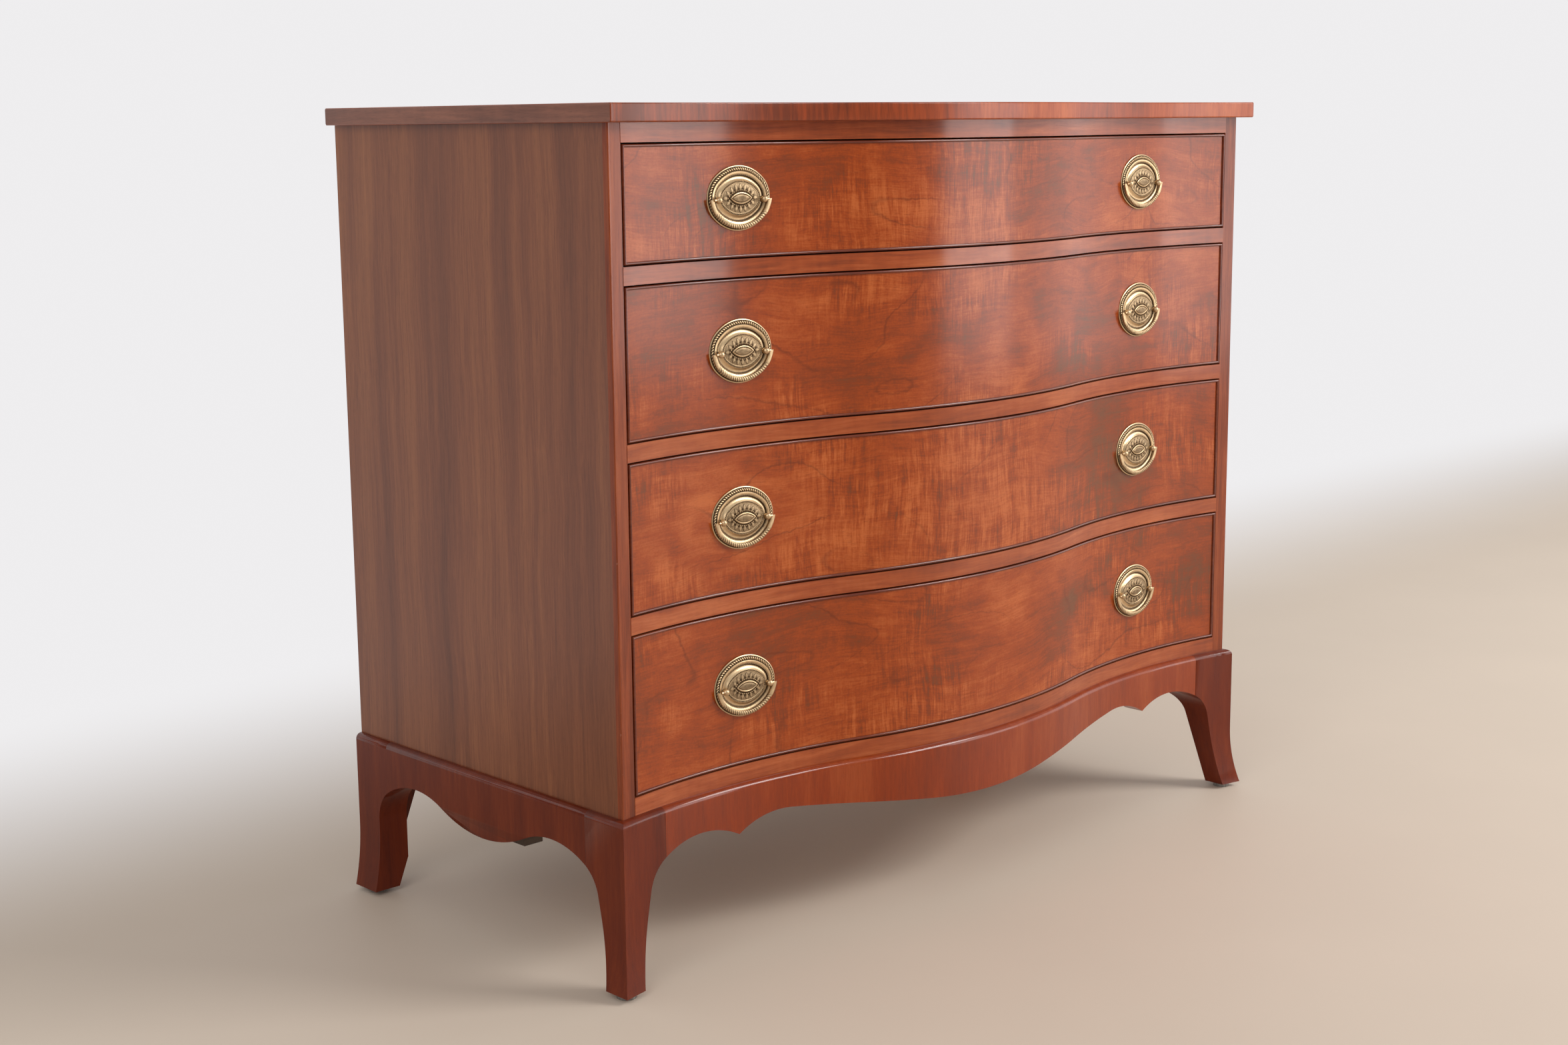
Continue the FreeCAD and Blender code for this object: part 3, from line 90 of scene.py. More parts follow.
# Relief of a pull's plate, from its edge inwards: distance in from the edge, height over the back, tarnish
PLATE_RELIEF = (
    (0.0, 0.0, 0.6),
    (0.0, 0.6, 0.3),
    (0.3, 0.9, 0.1),
    (1.0, 1.1, 0.0),
    (1.3, 0.9, 0.5),
    (1.6, 0.7, 1.0),
    (2.2, 1.1, 0.9),
    (3.6, 1.2, 0.8),
    (5.2, 1.2, 0.8),
    (5.7, 1.2, 0.9),
    (6.0, 2.2, 0.3),
    (6.5, 2.6, 0.0),
    (7.4, 2.5, 0.0),
    (8.6, 2.2, 0.1),
    (9.0, 1.9, 0.6),
    (10.1, 1.8, 0.8),
    (10.3, 1.3, 1.0),
    (10.9, 0.9, 0.9),
    (11.6, 0.8, 0.4),
    (12.6, 0.9, 0.0),
    (13.6, 1.4, 0.0),
    (14.6, 2.1, 0.0),
    (15.3, 2.9, 0.0),
    (15.8, 3.3, 0.1),
    (16.1, 3.0, 0.8),
    (17.2, 3.0, 0.8),
    (17.5, 3.5, 0.2),
    (18.0, 3.5, 0.3),
    (18.4, 3.2, 0.5),
    (21.0, 3.7, 0.5),
    (24.0, 4.1, 0.8),
)

# Navette in the middle of the plate: half length, half width, height, tarnish
NAVETTE_RELIEF = (
    (15.4, 6.8, 3.2, 1.0),
    (14.8, 6.3, 4.8, 0.6),
    (14.2, 5.8, 5.5, 0.1),
    (13.4, 5.2, 5.7, 0.0),
    (12.7, 4.7, 5.3, 0.2),
    (12.2, 4.3, 4.9, 0.8),
    (11.6, 3.9, 4.9, 0.6),
    (11.1, 3.5, 5.5, 0.4),
    (10.2, 3.0, 5.7, 0.5),
    (5.0, 1.4, 5.8, 0.6),
)


def metres(name, description, default):
    return FloatProperty(name=name, description=description, default=default, unit="LENGTH")


def whole(name, description, default, least):
    return IntProperty(name=name, description=description, default=default, min=least)


def tint(name, description, default):
    return FloatVectorProperty(
        name=name, description=description, default=default, subtype="COLOR", min=0, max=1
    )


class ChestSizes(bpy.types.PropertyGroup):
    case_width: metres("Case width", "Width of the case without the top's overhang", 1.047)
    hollow_inset: metres("Hollow inset", "From the case side to the deepest point of the hollow", 0.1455)
    hollow_radius: metres("Hollow radius", "Plan radius of the hollows beside the bulge", 0.737)
    bulge_radius: metres("Bulge radius", "Plan radius of the bulge in the middle", 0.703)
    top_depth: metres("Top depth", "From the case's front corners to the back edge of the top", 0.485)
    top_overhang: metres("Top overhang", "How far the top stands out over the case front", 0.016)
    top_ease: metres("Top edge", "Radius that eases the edges of the top", 0.0016)
    corner_ease: metres("Stile corner", "Radius on the outer corner of the stiles", 0.0012)
    drawer_recess: metres("Drawer recess", "How far the drawer faces lie behind the rails", 0.001)
    veneer: metres("Veneer", "Thickness of the veneer on drawers and rails", 0.0004)
    bead_width: metres("Bead width", "Width of the cock bead", 0.003)
    bead_proud: metres("Bead stand", "How far the bead stands out in front of the rails", 0.0015)
    bead_depth: metres("Bead depth", "From the rails' fronts to the back of the long beads", 0.021)
    bead_rebate: metres("Bead rebate", "From the rails' fronts to the back of the end beads", 0.007)
    front_thickness: metres("Front thickness", "Thickness of a drawer front", 0.020)
    tail_count: whole("Tails", "Dovetails on each end of a drawer front", 3, 1)
    tail_length: metres("Tail length", "Length of a drawer side's dovetails", 0.0105)
    tail_slope: FloatProperty(
        name="Tail slope", description="Slope of a dovetail's edges", default=math.radians(8), subtype="ANGLE"
    )
    tail_proud: metres("Tail stand", "How far the dovetails stand out of a front's ends", 0.00005)
    pin_width: metres("Pin width", "Width of the pins between the dovetails", 0.009)
    edge_pin: metres("Edge pin", "Width of the pins over and under the dovetails", 0.0025)
    apron_proud: metres("Apron stand", "How far the apron stands out in front of the rails", 0.008)
    apron_back: metres("Apron back", "How far the apron's back lies behind the rails' fronts", 0.019)
    nose_radius: metres("Apron nose", "Radius on the apron's upper front edge", 0.007)
    stations: whole("Stations", "Sections along a serpentine piece", 240, 24)


class ApronSizes(bpy.types.PropertyGroup):
    arch_radius: metres("Arch radius", "Radius of the arches beside the feet", 0.115)
    arch_x: metres("Outer arch", "From the middle to the outer arch's crown", 0.412)
    inner_x: metres("Inner arch", "From the middle to the inner arch's centre", 0.297)
    crown: metres("Crown height", "Height of the outer arch's crown", 0.1492)
    inner_rise: metres("Inner rise", "How much higher the inner arch goes", 0.0023)
    lobe_drop: metres("Lobe drop", "How far the middle lobe hangs below the crown", 0.0277)
    lobe_radius: metres("Lobe radius", "Radius of the middle lobe", 0.8)


class PullSizes(bpy.types.PropertyGroup):
    pull_x: metres("Pull place", "From the middle of a drawer to a pull", 0.34)
    post_spacing: metres("Post spacing", "Between the two posts of a pull", 0.061)
    post_drop: metres("Post drop", "How far the posts lie under the middle of a plate", 0.0016)
    plate_half: metres("Plate half width", "Half the width of the oval plate", 0.0424)
    plate_height: metres("Plate height", "Height of the oval plate", 0.0674)
    end_radius: metres("Plate end radius", "Radius of the oval's ends", 0.028)
    plate_seat: metres("Plate seat", "Clearance under the ends of the plate", 0.0001)
    rope_leaves: whole("Rope leaves", "Leaves in the rope border of a plate", 72, 3)
    milled_ticks: whole("Milled ticks", "Ticks in the milled ring of a plate", 132, 3)
    petals: whole("Petals", "Petals round the navette of a plate", 16, 3)
    pearls: whole("Pearls", "Pearls round the navette of a plate", 30, 3)
    ball_diameter: metres("Ball", "Diameter of a post's ball", 0.0074)
    pivot_reach: metres("Pivot reach", "From the plate's back to the bail's pivot", 0.006)
    shank_diameter: metres("Shank", "Diameter of a post's shank", 0.0046)
    collar_diameter: metres("Collar", "Diameter of a post's collar", 0.006)
    nut_diameter: metres("Nut", "Across the corners of a nut", 0.009)
    nut_thickness: metres("Nut thickness", "Thickness of a nut", 0.0035)
    bail_band: metres("Bail band", "Width of a bail's band", 0.005)
    bail_inset: metres("Bail inset", "From the plate's edge in to the bail's outer edge", 0.0018)
    bail_sag: metres("Bail sag", "How much nearer to the plate a bail lies than its pivot", 0.0014)
    bail_thickness: metres("Bail thickness", "Thickness of a bail's band", 0.0028)
    bail_tip: metres("Bail tip", "How far a bail's ends rise over its pivot", 0.0004)
    bail_flare: metres("Bail flare", "How far the pointed ends of a bail stand out", 0.0008)
    bail_twists: FloatProperty(
        name="Bail twists", description="Turns of the rope on a bail", default=17.0, min=1
    )
    pin_diameter: metres("Pin", "Diameter of a bail's pins", 0.0026)
    pin_reach: metres("Pin reach", "Length of a bail's pins", 0.007)


# Dark, middle and light shade of each wood, and what it is on
WOODS = {
    "figure": ("the drawer veneer", (0.215, 0.037, 0.006), (0.31, 0.050, 0.005), (0.45, 0.105, 0.022)),
    "side": ("the sides", (0.120, 0.034, 0.013), (0.208, 0.063, 0.024), (0.315, 0.112, 0.041)),
    "rail": ("the rails", (0.19, 0.036, 0.010), (0.31, 0.060, 0.013), (0.42, 0.105, 0.030)),
    "stile": ("the stiles", (0.125, 0.023, 0.007), (0.225, 0.042, 0.011), (0.31, 0.070, 0.020)),
    "edge": ("the top's edge", (0.15, 0.030, 0.010), (0.32, 0.055, 0.012), (0.46, 0.105, 0.026)),
    "end": ("the top's ends", (0.125, 0.044, 0.026), (0.205, 0.074, 0.044), (0.28, 0.105, 0.062)),
    "base": ("the apron", (0.170, 0.022, 0.003), (0.235, 0.030, 0.002), (0.300, 0.052, 0.009)),
    "foot": ("the feet", (0.095, 0.013, 0.004), (0.135, 0.018, 0.004), (0.188, 0.029, 0.006)),
    # Beads: a dark red-brown wood, darkened further as painted shade so the drawer outlines carry the shadow
    # of the gaps beside them
    "bead": ("the beads", (0.085, 0.012, 0.003), (0.137, 0.021, 0.005), (0.202, 0.039, 0.009)),
    "inside": ("the hidden wood", (0.30, 0.158, 0.072), (0.46, 0.272, 0.142), (0.57, 0.37, 0.21)),
    # Dark stain of the glue blocks and back base rail, made darker still as painted shade for the shadow
    # under the base
    "stained": ("the stained wood", (0.035, 0.020, 0.012), (0.070, 0.042, 0.025), (0.11, 0.070, 0.042)),
}
SHADES = ("dark", "middle", "light")


class WoodColours(bpy.types.PropertyGroup):
    figure_smoke: tint("Figure smoke", "Smoky clouds of the drawer veneer", (0.15, 0.044, 0.014))
    brass: tint("Brass", "Polished brass", (0.73, 0.53, 0.315))
    tarnish: tint("Tarnish", "Brown in the brass's hollows", (0.075, 0.045, 0.024))
    floor: tint("Floor", "Floor of the stage", (0.64, 0.535, 0.435))


for wood, (piece, *colours) in WOODS.items():
    for shade, colour in zip(SHADES, colours):
        label = f"{wood} {shade}".capitalize()
        text = f"{shade.capitalize()} shade of {piece}"
        WoodColours.__annotations__[f"{wood}_{shade}"] = tint(label, text, colour)


# Plan and elevation of the front


class FrontPlan:
    """The serpentine plan: y at a place along x, some distance out from the front of the rails."""

    def __init__(self, sizes):
        self.half = sizes.case_width / 2
        self.hollow_x = self.half - sizes.hollow_inset
        self.bulge = sizes.bulge_radius
        self.hollow = sizes.hollow_radius
        self.reach = self.bulge + self.hollow
        corner_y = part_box("top_board")[1].y - sizes.top_depth
        self.hollow_y = corner_y - math.sqrt(self.hollow**2 - sizes.hollow_inset**2)
        self.bulge_y = self.hollow_y + math.sqrt(self.reach**2 - self.hollow_x**2)

    def y(self, x, out):
        bulge = self.bulge + out
        if abs(x) <= self.hollow_x * bulge / self.reach:
            return self.bulge_y - math.sqrt(bulge * bulge - x * x)
        beside = abs(x) - self.hollow_x
        return self.hollow_y + math.sqrt((self.hollow - out) ** 2 - beside * beside)


class ApronEdge:
    """Lower edge of the front apron: a lobe, two slopes and two arches on each side."""

    def __init__(self, sizes):
        self.radius = sizes.arch_radius
        self.lobe = sizes.lobe_radius
        self.outer_x = sizes.arch_x
        self.inner_x = sizes.inner_x
        self.outer_z = sizes.crown - self.radius
        self.inner_z = self.outer_z + sizes.inner_rise
        self.lobe_z = sizes.crown - sizes.lobe_drop + self.lobe
        rise = self.lobe_z - self.inner_z
        away = math.hypot(self.inner_x, rise)
        self.slope = math.atan2(self.inner_x, rise) - math.acos((self.lobe + self.radius) / away)
        self.lobe_end = self.lobe * math.sin(self.slope)
        self.slope_end = self.inner_x - self.radius * math.sin(self.slope)
        half_x = (self.outer_x - self.inner_x) / 2
        half_z = (self.outer_z - self.inner_z) / 2
        gap = math.hypot(half_x, half_z)
        climb = math.sqrt(self.radius**2 - gap**2)
        self.cusp = self.inner_x + half_x - half_z / gap * climb

    def z(self, x):
        x = abs(x)
        if x <= self.lobe_end:
            return self.lobe_z - math.sqrt(self.lobe**2 - x * x)
        if x <= self.slope_end:
            foot = self.lobe_z - self.lobe * math.cos(self.slope)
            return foot + (x - self.lobe_end) * math.tan(self.slope)
        if x <= self.cusp:
            return self.inner_z + math.sqrt(self.radius**2 - (x - self.inner_x) ** 2)
        return self.outer_z + math.sqrt(self.radius**2 - (x - self.outer_x) ** 2)

    def corners(self):
        return (self.lobe_end, self.slope_end, self.cusp)


class Oval:
    """The plate's oval of two end arcs and two long arcs."""

    def __init__(self, pulls):
        rise = pulls.plate_height / 2 - pulls.end_radius
        self.offset = pulls.plate_half - pulls.end_radius
        self.small = pulls.end_radius
        self.drop = (self.offset**2 - rise**2) / (2 * rise)
        self.large = pulls.plate_height / 2 + self.drop
        self.joint = math.atan2(self.drop, self.offset)

    def point(self, angle, inset):
        """Point whose outward normal has that angle, some distance in from the edge."""
        across, up = math.cos(angle), math.sin(angle)
        if abs(math.atan2(up, abs(across))) <= self.joint:
            return (
                math.copysign(self.offset, across) + (self.small - inset) * across,
                (self.small - inset) * up,
            )
        return (self.large - inset) * across, (self.large - inset) * up - math.copysign(self.drop, up)

    def even_angles(self, inset, start, end, count):
        """Normal angles at equal steps along the oval."""
        fine = spread(start, end, 720)
        length = [0.0]
        for first, second in zip(fine, fine[1:]):
            length.append(length[-1] + math.dist(self.point(first, inset), self.point(second, inset)))
        angles = []
        place = 0
        for step in range(count + 1):
            goal = length[-1] * step / count
            while place < len(fine) - 2 and length[place + 1] < goal:
                place += 1
            share = (goal - length[place]) / (length[place + 1] - length[place])
            angles.append(fine[place] + share * (fine[place + 1] - fine[place]))
        return angles


# Meshes


class Shell:
    """Vertices, faces and stain of a mesh under construction: tarnish on brass, smoke or wear on wood."""

    def __init__(self, loops=(), stains=None):
        self.vertices = []
        self.faces = []
        self.stain = []
        if loops:
            self.skin(loops, stains)

    def skin(self, loops, stains=None):
        """Cover a row of equal closed loops, and close both ends."""
        first = len(self.vertices)
        count = len(loops[0])
        for row, loop in enumerate(loops):
            self.vertices.extend(loop)
            self.stain.extend([stains[row] if stains else 0.0] * count)
        for row in range(len(loops) - 1):
            low = first + row * count
            for step in range(count):
                after = (step + 1) % count
                self.faces.append((low + step, low + after, low + count + after, low + count + step))
        last = first + (len(loops) - 1) * count
        self.faces.append(tuple(range(first + count - 1, first - 1, -1)))
        self.faces.append(tuple(range(last, last + count)))

    def add(self, other, matrix=None):
        first = len(self.vertices)
        for point in other.vertices:
            self.vertices.append(tuple(matrix @ Vector(point)) if matrix else tuple(point))
        self.faces.extend(tuple(first + corner for corner in face) for face in other.faces)
        self.stain.extend(other.stain)

    def paint(self, rule):
        """Set each vertex's stain by its place."""
        self.stain = [rule(*point) for point in self.vertices]

    def mesh(self, name, sharp=32.0):
        """A mesh with its faces turned outwards and its curved faces smooth."""
        mesh = bpy.data.meshes.new(name)
        mesh.from_pydata(self.vertices, [], self.faces)
        layer = mesh.attributes.new("stain", "FLOAT", "POINT")
        layer.data.foreach_set("value", self.stain)
        turn_out(mesh)
        mesh.shade_smooth()
        mesh.set_sharp_from_angle(angle=math.radians(sharp))
        return mesh


def turn_out(mesh):
    work = bmesh.new()
    work.from_mesh(mesh)
    bmesh.ops.recalc_face_normals(work, faces=work.faces)
    work.to_mesh(mesh)
    work.free()


def spread(low, high, steps):
    return [low + (high - low) * step / steps for step in range(steps + 1)]


def circle(radius, segments):
    """Points of a circle, as pairs."""
    return [(radius * math.cos(turn), radius * math.sin(turn)) for turn in spread(0, math.tau, segments)[:-1]]


def show(name, mesh, material, body, slot, *replaced):
    """Put a finished mesh in the scene, on its body; its slot is not used."""
    piece = bpy.data.objects.new(name, mesh)
    bpy.context.scene.collection.objects.link(piece)
    mesh.materials.clear()
    mesh.materials.append(material)
    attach(piece, body)
    if replaced:
        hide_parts(*replaced)
    return piece


def smooth_copy(node, name, material, body, slot, sharp=28.0):
    """A merged and smoothed copy of a node, which it stands for."""
    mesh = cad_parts[node].data.copy()
    mesh.name = name
    work = bmesh.new()
    work.from_mesh(mesh)
    bmesh.ops.remove_doubles(work, verts=work.verts, dist=2e-6)
    work.to_mesh(mesh)
    work.free()
    mesh.shade_smooth()
    mesh.set_sharp_from_angle(angle=math.radians(sharp))
    show(name, mesh, material, body, slot, node)


def coat(nodes, material):
    """Give a material to nodes that are shown as they are."""
    for node in nodes:
        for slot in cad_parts[node].material_slots:
            slot.material = material


def curved_strip(plan, half, rows, face, back, stations):
    """A strip that follows the serpentine front, with its face in rows of equal height."""
    loops = []
    for x in spread(-half, half, stations):
        front, rear = plan.y(x, face), plan.y(x, back)
        loops.append([(x, front, z) for z in rows] + [(x, rear, rows[-1]), (x, rear, rows[0])])
    return Shell(loops)


# Finishes


class Finish:
    """A node material under construction."""

    def __init__(self, name):
        if name in bpy.data.materials:
            raise ValueError(f"the finish {name} is there already")
        self.material = bpy.data.materials.new(name)
        self.material.use_nodes = True
        self.tree = self.material.node_tree
        self.tree.nodes.clear()
        output = self.add("ShaderNodeOutputMaterial")
        self.surface = self.add("ShaderNodeBsdfPrincipled")
        self.tree.links.new(self.surface.outputs[0], output.inputs["Surface"])
        self.place = self.add("ShaderNodeTexCoord").outputs["Object"]

    def add(self, kind):
        return self.tree.nodes.new(kind)

    def put(self, socket, value):
        if isinstance(value, bpy.types.NodeSocket):
            self.tree.links.new(value, socket)
        else:
            socket.default_value = value

    def math(self, operation, first, second=0.0, clamp=False):
        node = self.add("ShaderNodeMath")
        node.operation = operation
        node.use_clamp = clamp
        self.put(node.inputs[0], first)
        self.put(node.inputs[1], second)
        return node.outputs[0]

    def total(self, *shares):
        """Sum of values, each times its share."""
        result = None
        for value, share in shares:
            part = self.math("MULTIPLY", value, share)
            result = part if result is None else self.math("ADD", result, part)
        return result

    def stretch(self, scale, vector=None, shift=(0, 0, 0)):
        node = self.add("ShaderNodeMapping")
        node.inputs["Scale"].default_value = scale
        node.inputs["Location"].default_value = shift
        self.put(node.inputs["Vector"], vector or self.place)
        return node.outputs[0]

    def noise(self, vector, detail=3.0, rough=0.5, output="Fac"):
        node = self.add("ShaderNodeTexNoise")
        node.inputs["Scale"].default_value = 1.0
        node.inputs["Detail"].default_value = detail
        node.inputs["Roughness"].default_value = rough
        self.put(node.inputs["Vector"], vector)
        return node.outputs[output]

    def swayed(self, vector, amount):
        """The place, moved about by a slow noise."""
        centred = self.add("ShaderNodeVectorMath")
        centred.operation = "SUBTRACT"
        self.put(centred.inputs[0], self.noise(vector, 2.0, 0.5, output="Color"))
        centred.inputs[1].default_value = (0.5, 0.5, 0.5)
        sway = self.add("ShaderNodeVectorMath")
        sway.operation = "MULTIPLY_ADD"
        self.put(sway.inputs[0], centred.outputs[0])
        sway.inputs[1].default_value = amount
        self.put(sway.inputs[2], self.place)
        return sway.outputs[0]

    def stain(self):
        """The stain that a mesh carries."""
        node = self.add("ShaderNodeAttribute")
        node.attribute_name = "stain"
        return node.outputs["Fac"]

    def ramp(self, factor, *stops):
        node = self.add("ShaderNodeValToRGB")
        while len(node.color_ramp.elements) < len(stops):
            node.color_ramp.elements.new(0.5)
        for element, (place, colour) in zip(node.color_ramp.elements, stops):
            element.position = place
            element.color = (*colour, 1) if not isinstance(colour, float) else (colour, colour, colour, 1)
        self.put(node.inputs[0], factor)
        return node.outputs[0]

    def mix(self, factor, first, second):
        node = self.add("ShaderNodeMix")
        node.data_type = "RGBA"
        self.put(node.inputs[0], factor)
        self.put(node.inputs[6], first)
        self.put(node.inputs[7], second)
        return node.outputs[2]

    def bump(self, height, strength, distance):
        node = self.add("ShaderNodeBump")
        node.inputs["Strength"].default_value = strength
        node.inputs["Distance"].default_value = distance
        self.put(node.inputs["Height"], height)
        self.put(self.surface.inputs["Normal"], node.outputs[0])

    def set(self, **values):
        for name, value in values.items():
            self.put(self.surface.inputs[name.replace("_", " ").title().replace("Ior", "IOR")], value)


def lacquer(finish, wood, shade, pitted, gloss, haze):
    """Glossy coat over a wood, a little uneven."""
    worn = finish.noise(finish.stretch((11.0, 11.0, 11.0), None, (2, 8, 4)), 4.0, 0.6)
    rough = finish.total((pitted, 0.08), (worn, 0.2))
    finish.set(
        base_color=wood,
        roughness=finish.math("ADD", rough, 0.3),
        specular_ior_level=0.05,
        coat_weight=gloss,
        coat_roughness=haze,
        coat_ior=1.5,
    )
    finish.bump(finish.total((pitted, -0.4), (shade, 0.5), (worn, 0.6)), 0.10, 0.0004)
    return finish.material


def lacquered_wood(name, colours, figure, pores, spread=0.1, gloss=0.5, sway=0.008, haze=0.18):
    """Lacquered veneer: figure and dark pores under a glossy coat, with pale nicks on worn edges."""
    dark, middle, light = (tuple(colour) for colour in colours)
    finish = Finish(name)
    swayed = finish.swayed(finish.stretch((6.0, 6.0, 6.0)), (sway, sway, 2 * sway))
    layers = []
    for scale, detail, share in figure:
        layers.append((finish.noise(finish.stretch(scale, swayed), detail, 0.5), share))
    shade = finish.total(*layers)
    wood = finish.ramp(shade, (0.5 - spread, dark), (0.5, middle), (0.5 + spread, light))
    pitted = finish.ramp(finish.noise(finish.stretch(pores), 2.0, 0.5), (0.34, 1.0), (0.43, 0.0))
    wood = finish.mix(finish.math("MULTIPLY", pitted, 0.3), wood, (*(0.5 * part for part in dark), 1))
    chips = finish.noise(finish.stretch((70.0, 70.0, 70.0), None, (4, 4, 9)), 4.0, 0.65)
    nicked = finish.math("MULTIPLY", finish.ramp(chips, (0.65, 0.0), (0.70, 0.8)), finish.stain(), True)
    wood = finish.mix(nicked, wood, (0.48, 0.28, 0.20, 1))
    return lacquer(finish, wood, shade, pitted, gloss, haze)


def flame_veneer(name, colours, smoky):
    """Figured veneer: smoky clouds, feathered plumes, thin wavy lines and a fine grain."""
    dark, middle, light = (tuple(colour) for colour in colours)
    finish = Finish(name)
    swayed = finish.swayed(finish.stretch((5.0, 5.0, 6.0)), (0.03, 0.03, 0.05))

    def centred(scale, shift, detail=3.0, rough=0.55):
        return finish.math("SUBTRACT", finish.noise(finish.stretch(scale, swayed, shift), detail, rough), 0.5)

    mask = finish.noise(finish.stretch((6.0, 6.0, 9.0), None, (9, 4, 2)), 2.0)
    plumed = finish.ramp(mask, (0.48, 0.05), (0.62, 1.0))
    plumes = finish.math("MULTIPLY", centred((110.0, 50.0, 12.0), (1, 7, 2)), plumed)
    flecks = finish.math("MULTIPLY", centred((430.0, 190.0, 40.0), (6, 1, 3), 2.0), plumed)
    shade = finish.total(
        (centred((4.6, 4.6, 7.5), (0, 3, 1)), 0.30),
        (centred((19.0, 19.0, 25.0), (3, 0, 5), 5.0, 0.62), 0.25),
        (centred((7.0, 7.0, 95.0), (4, 6, 2), 4.0, 0.62), 0.17),
        (plumes, 0.30),
        (flecks, 0.32),
        (centred((34.0, 34.0, 620.0), (2, 2, 8), 3.0, 0.6), 0.17),
        (centred((420.0, 420.0, 420.0), (1, 1, 1), 2.0), 0.10),
        (finish.stain(), -0.058),
    )
    shade = finish.math("ADD", shade, 0.5)
    wood = finish.ramp(shade, (0.36, tuple(smoky)), (0.43, dark), (0.5, middle), (0.61, light))
    ragged = finish.swayed(finish.stretch((120.0, 120.0, 120.0)), (0.004, 0.004, 0.006))
    levels = finish.noise(finish.stretch((3.6, 3.6, 8.5), ragged, (7, 1, 4)), 1.0, 0.4)
    rings = finish.math("PINGPONG", finish.math("MULTIPLY", levels, 9.0), 0.5)
    patchy = finish.noise(finish.stretch((5.0, 5.0, 6.5), None, (5, 2, 1)), 2.0)
    line = finish.ramp(rings, (0.0, 1.0), (0.04, 0.0))
    thin = finish.math("MULTIPLY", line, finish.ramp(patchy, (0.42, 0.0), (0.58, 0.55)))
    wood = finish.mix(thin, wood, (*(0.5 * part for part in dark), 1))
    pores = finish.noise(finish.stretch((110.0, 110.0, 2200.0)), 2.0, 0.5)
    pitted = finish.ramp(pores, (0.33, 1.0), (0.42, 0.0))
    wood = finish.mix(finish.math("MULTIPLY", pitted, 0.35), wood, (*(0.5 * part for part in dark), 1))
    return lacquer(finish, wood, shade, pitted, 0.5, 0.18)


def directed(grain, along, across):
    """Scale for a noise that runs along the grain: grain is 0 along it and 1 across it, for x, y and z."""
    return tuple(along + (across - along) * share for share in grain)


def plain_wood(name, colours, grain):
    """Planed, unpolished wood with streaks and saw marks."""
    dark, middle, light = (tuple(colour) for colour in colours)
    finish = Finish(name)
    swayed = finish.swayed(finish.stretch(directed(grain, 3.0, 6.0)), (0.01, 0.01, 0.02))
    bands = finish.noise(finish.stretch(directed(grain, 1.6, 30.0), swayed), 4.0, 0.6)
    streaks = finish.noise(finish.stretch(directed(grain, 6.0, 240.0), swayed), 4.0, 0.6)
    marks = finish.noise(finish.stretch(directed(grain, 160.0, 4.0)), 1.0, 0.5)
    dust = finish.noise(finish.stretch((9.0, 9.0, 9.0)), 4.0, 0.6)
    figure = finish.total((bands, 0.5), (streaks, 0.35), (dust, 0.15))
    wood = finish.ramp(figure, (0.36, dark), (0.5, middle), (0.64, light))
    finish.set(base_color=wood, roughness=finish.math("ADD", finish.math("MULTIPLY", streaks, 0.2), 0.55))
    finish.bump(finish.total((streaks, 0.6), (marks, 0.4)), 0.25, 0.0005)
    return finish.material


def aged_brass(name, polished, tarnish, rough=0.35):
    """Brass that is bright where hands rub it and brown in its hollows."""
    finish = Finish(name)
    clouds = finish.noise(finish.stretch((260.0, 260.0, 260.0)), 4.0, 0.6)
    specks = finish.noise(finish.stretch((1500.0, 1500.0, 1500.0)), 2.0, 0.5)
    stain = finish.total((finish.stain(), 0.75), (clouds, 0.35), (specks, 0.15))
    brown = finish.ramp(stain, (0.24, 0.0), (0.82, 1.0))
    finish.set(
        base_color=finish.mix(brown, (*polished, 1), (*tarnish, 1)),
        metallic=1.0,
        roughness=finish.math("ADD", finish.math("MULTIPLY", brown, 0.25), rough),
    )
    finish.bump(finish.total((clouds, 0.5), (specks, 0.5)), 0.08, 0.0002)
    return finish.material


def dull_metal(name):
    """Nickelled steel of the floor glides, scuffed."""
    finish = Finish(name)
    scuffs = finish.noise(finish.stretch((400.0, 400.0, 120.0)), 4.0, 0.6)
    finish.set(
        base_color=finish.ramp(scuffs, (0.35, (0.18, 0.17, 0.16)), (0.65, (0.34, 0.33, 0.31))),
        metallic=1.0,
        roughness=finish.math("ADD", finish.math("MULTIPLY", scuffs, 0.3), 0.35),
    )
    finish.bump(scuffs, 0.1, 0.0002)
    return finish.material


FRONT_GRAIN = (0, 0, 1)
BOARD_GRAIN = (0, 1, 1)
DEPTH_GRAIN = (1, 0, 1)

# Figure of the woods: scale of a noise along x, y and z, its detail and its share
RIBBON_FIGURE = (
    ((3.5, 3.5, 0.35), 3.0, 0.32),
    ((17.0, 17.0, 0.8), 2.0, 0.28),
    ((70.0, 70.0, 1.8), 3.0, 0.20),
    ((430.0, 430.0, 9.0), 3.0, 0.18),
)
LEVEL_FIGURE = (
    ((4.0, 4.0, 30.0), 2.0, 0.34),
    ((14.0, 14.0, 110.0), 3.0, 0.30),
    ((90.0, 60.0, 30.0), 2.0, 0.10),
    ((16.0, 16.0, 420.0), 3.0, 0.26),
)
STILE_FIGURE = (
    ((30.0, 30.0, 2.5), 2.0, 0.30),
    ((120.0, 120.0, 7.0), 3.0, 0.35),
    ((420.0, 420.0, 16.0), 3.0, 0.35),
)
BOARD_FIGURE = (
    ((3.0, 9.0, 9.0), 2.0, 0.34),
    ((7.0, 46.0, 46.0), 3.0, 0.30),
    ((60.0, 12.0, 12.0), 2.0, 0.10),
    ((12.0, 240.0, 240.0), 4.0, 0.26),
)
BANDED_FIGURE = (
    ((4.5, 4.5, 5.0), 2.0, 0.50),
    ((20.0, 20.0, 9.0), 3.0, 0.28),
    ((260.0, 260.0, 24.0), 3.0, 0.22),
)
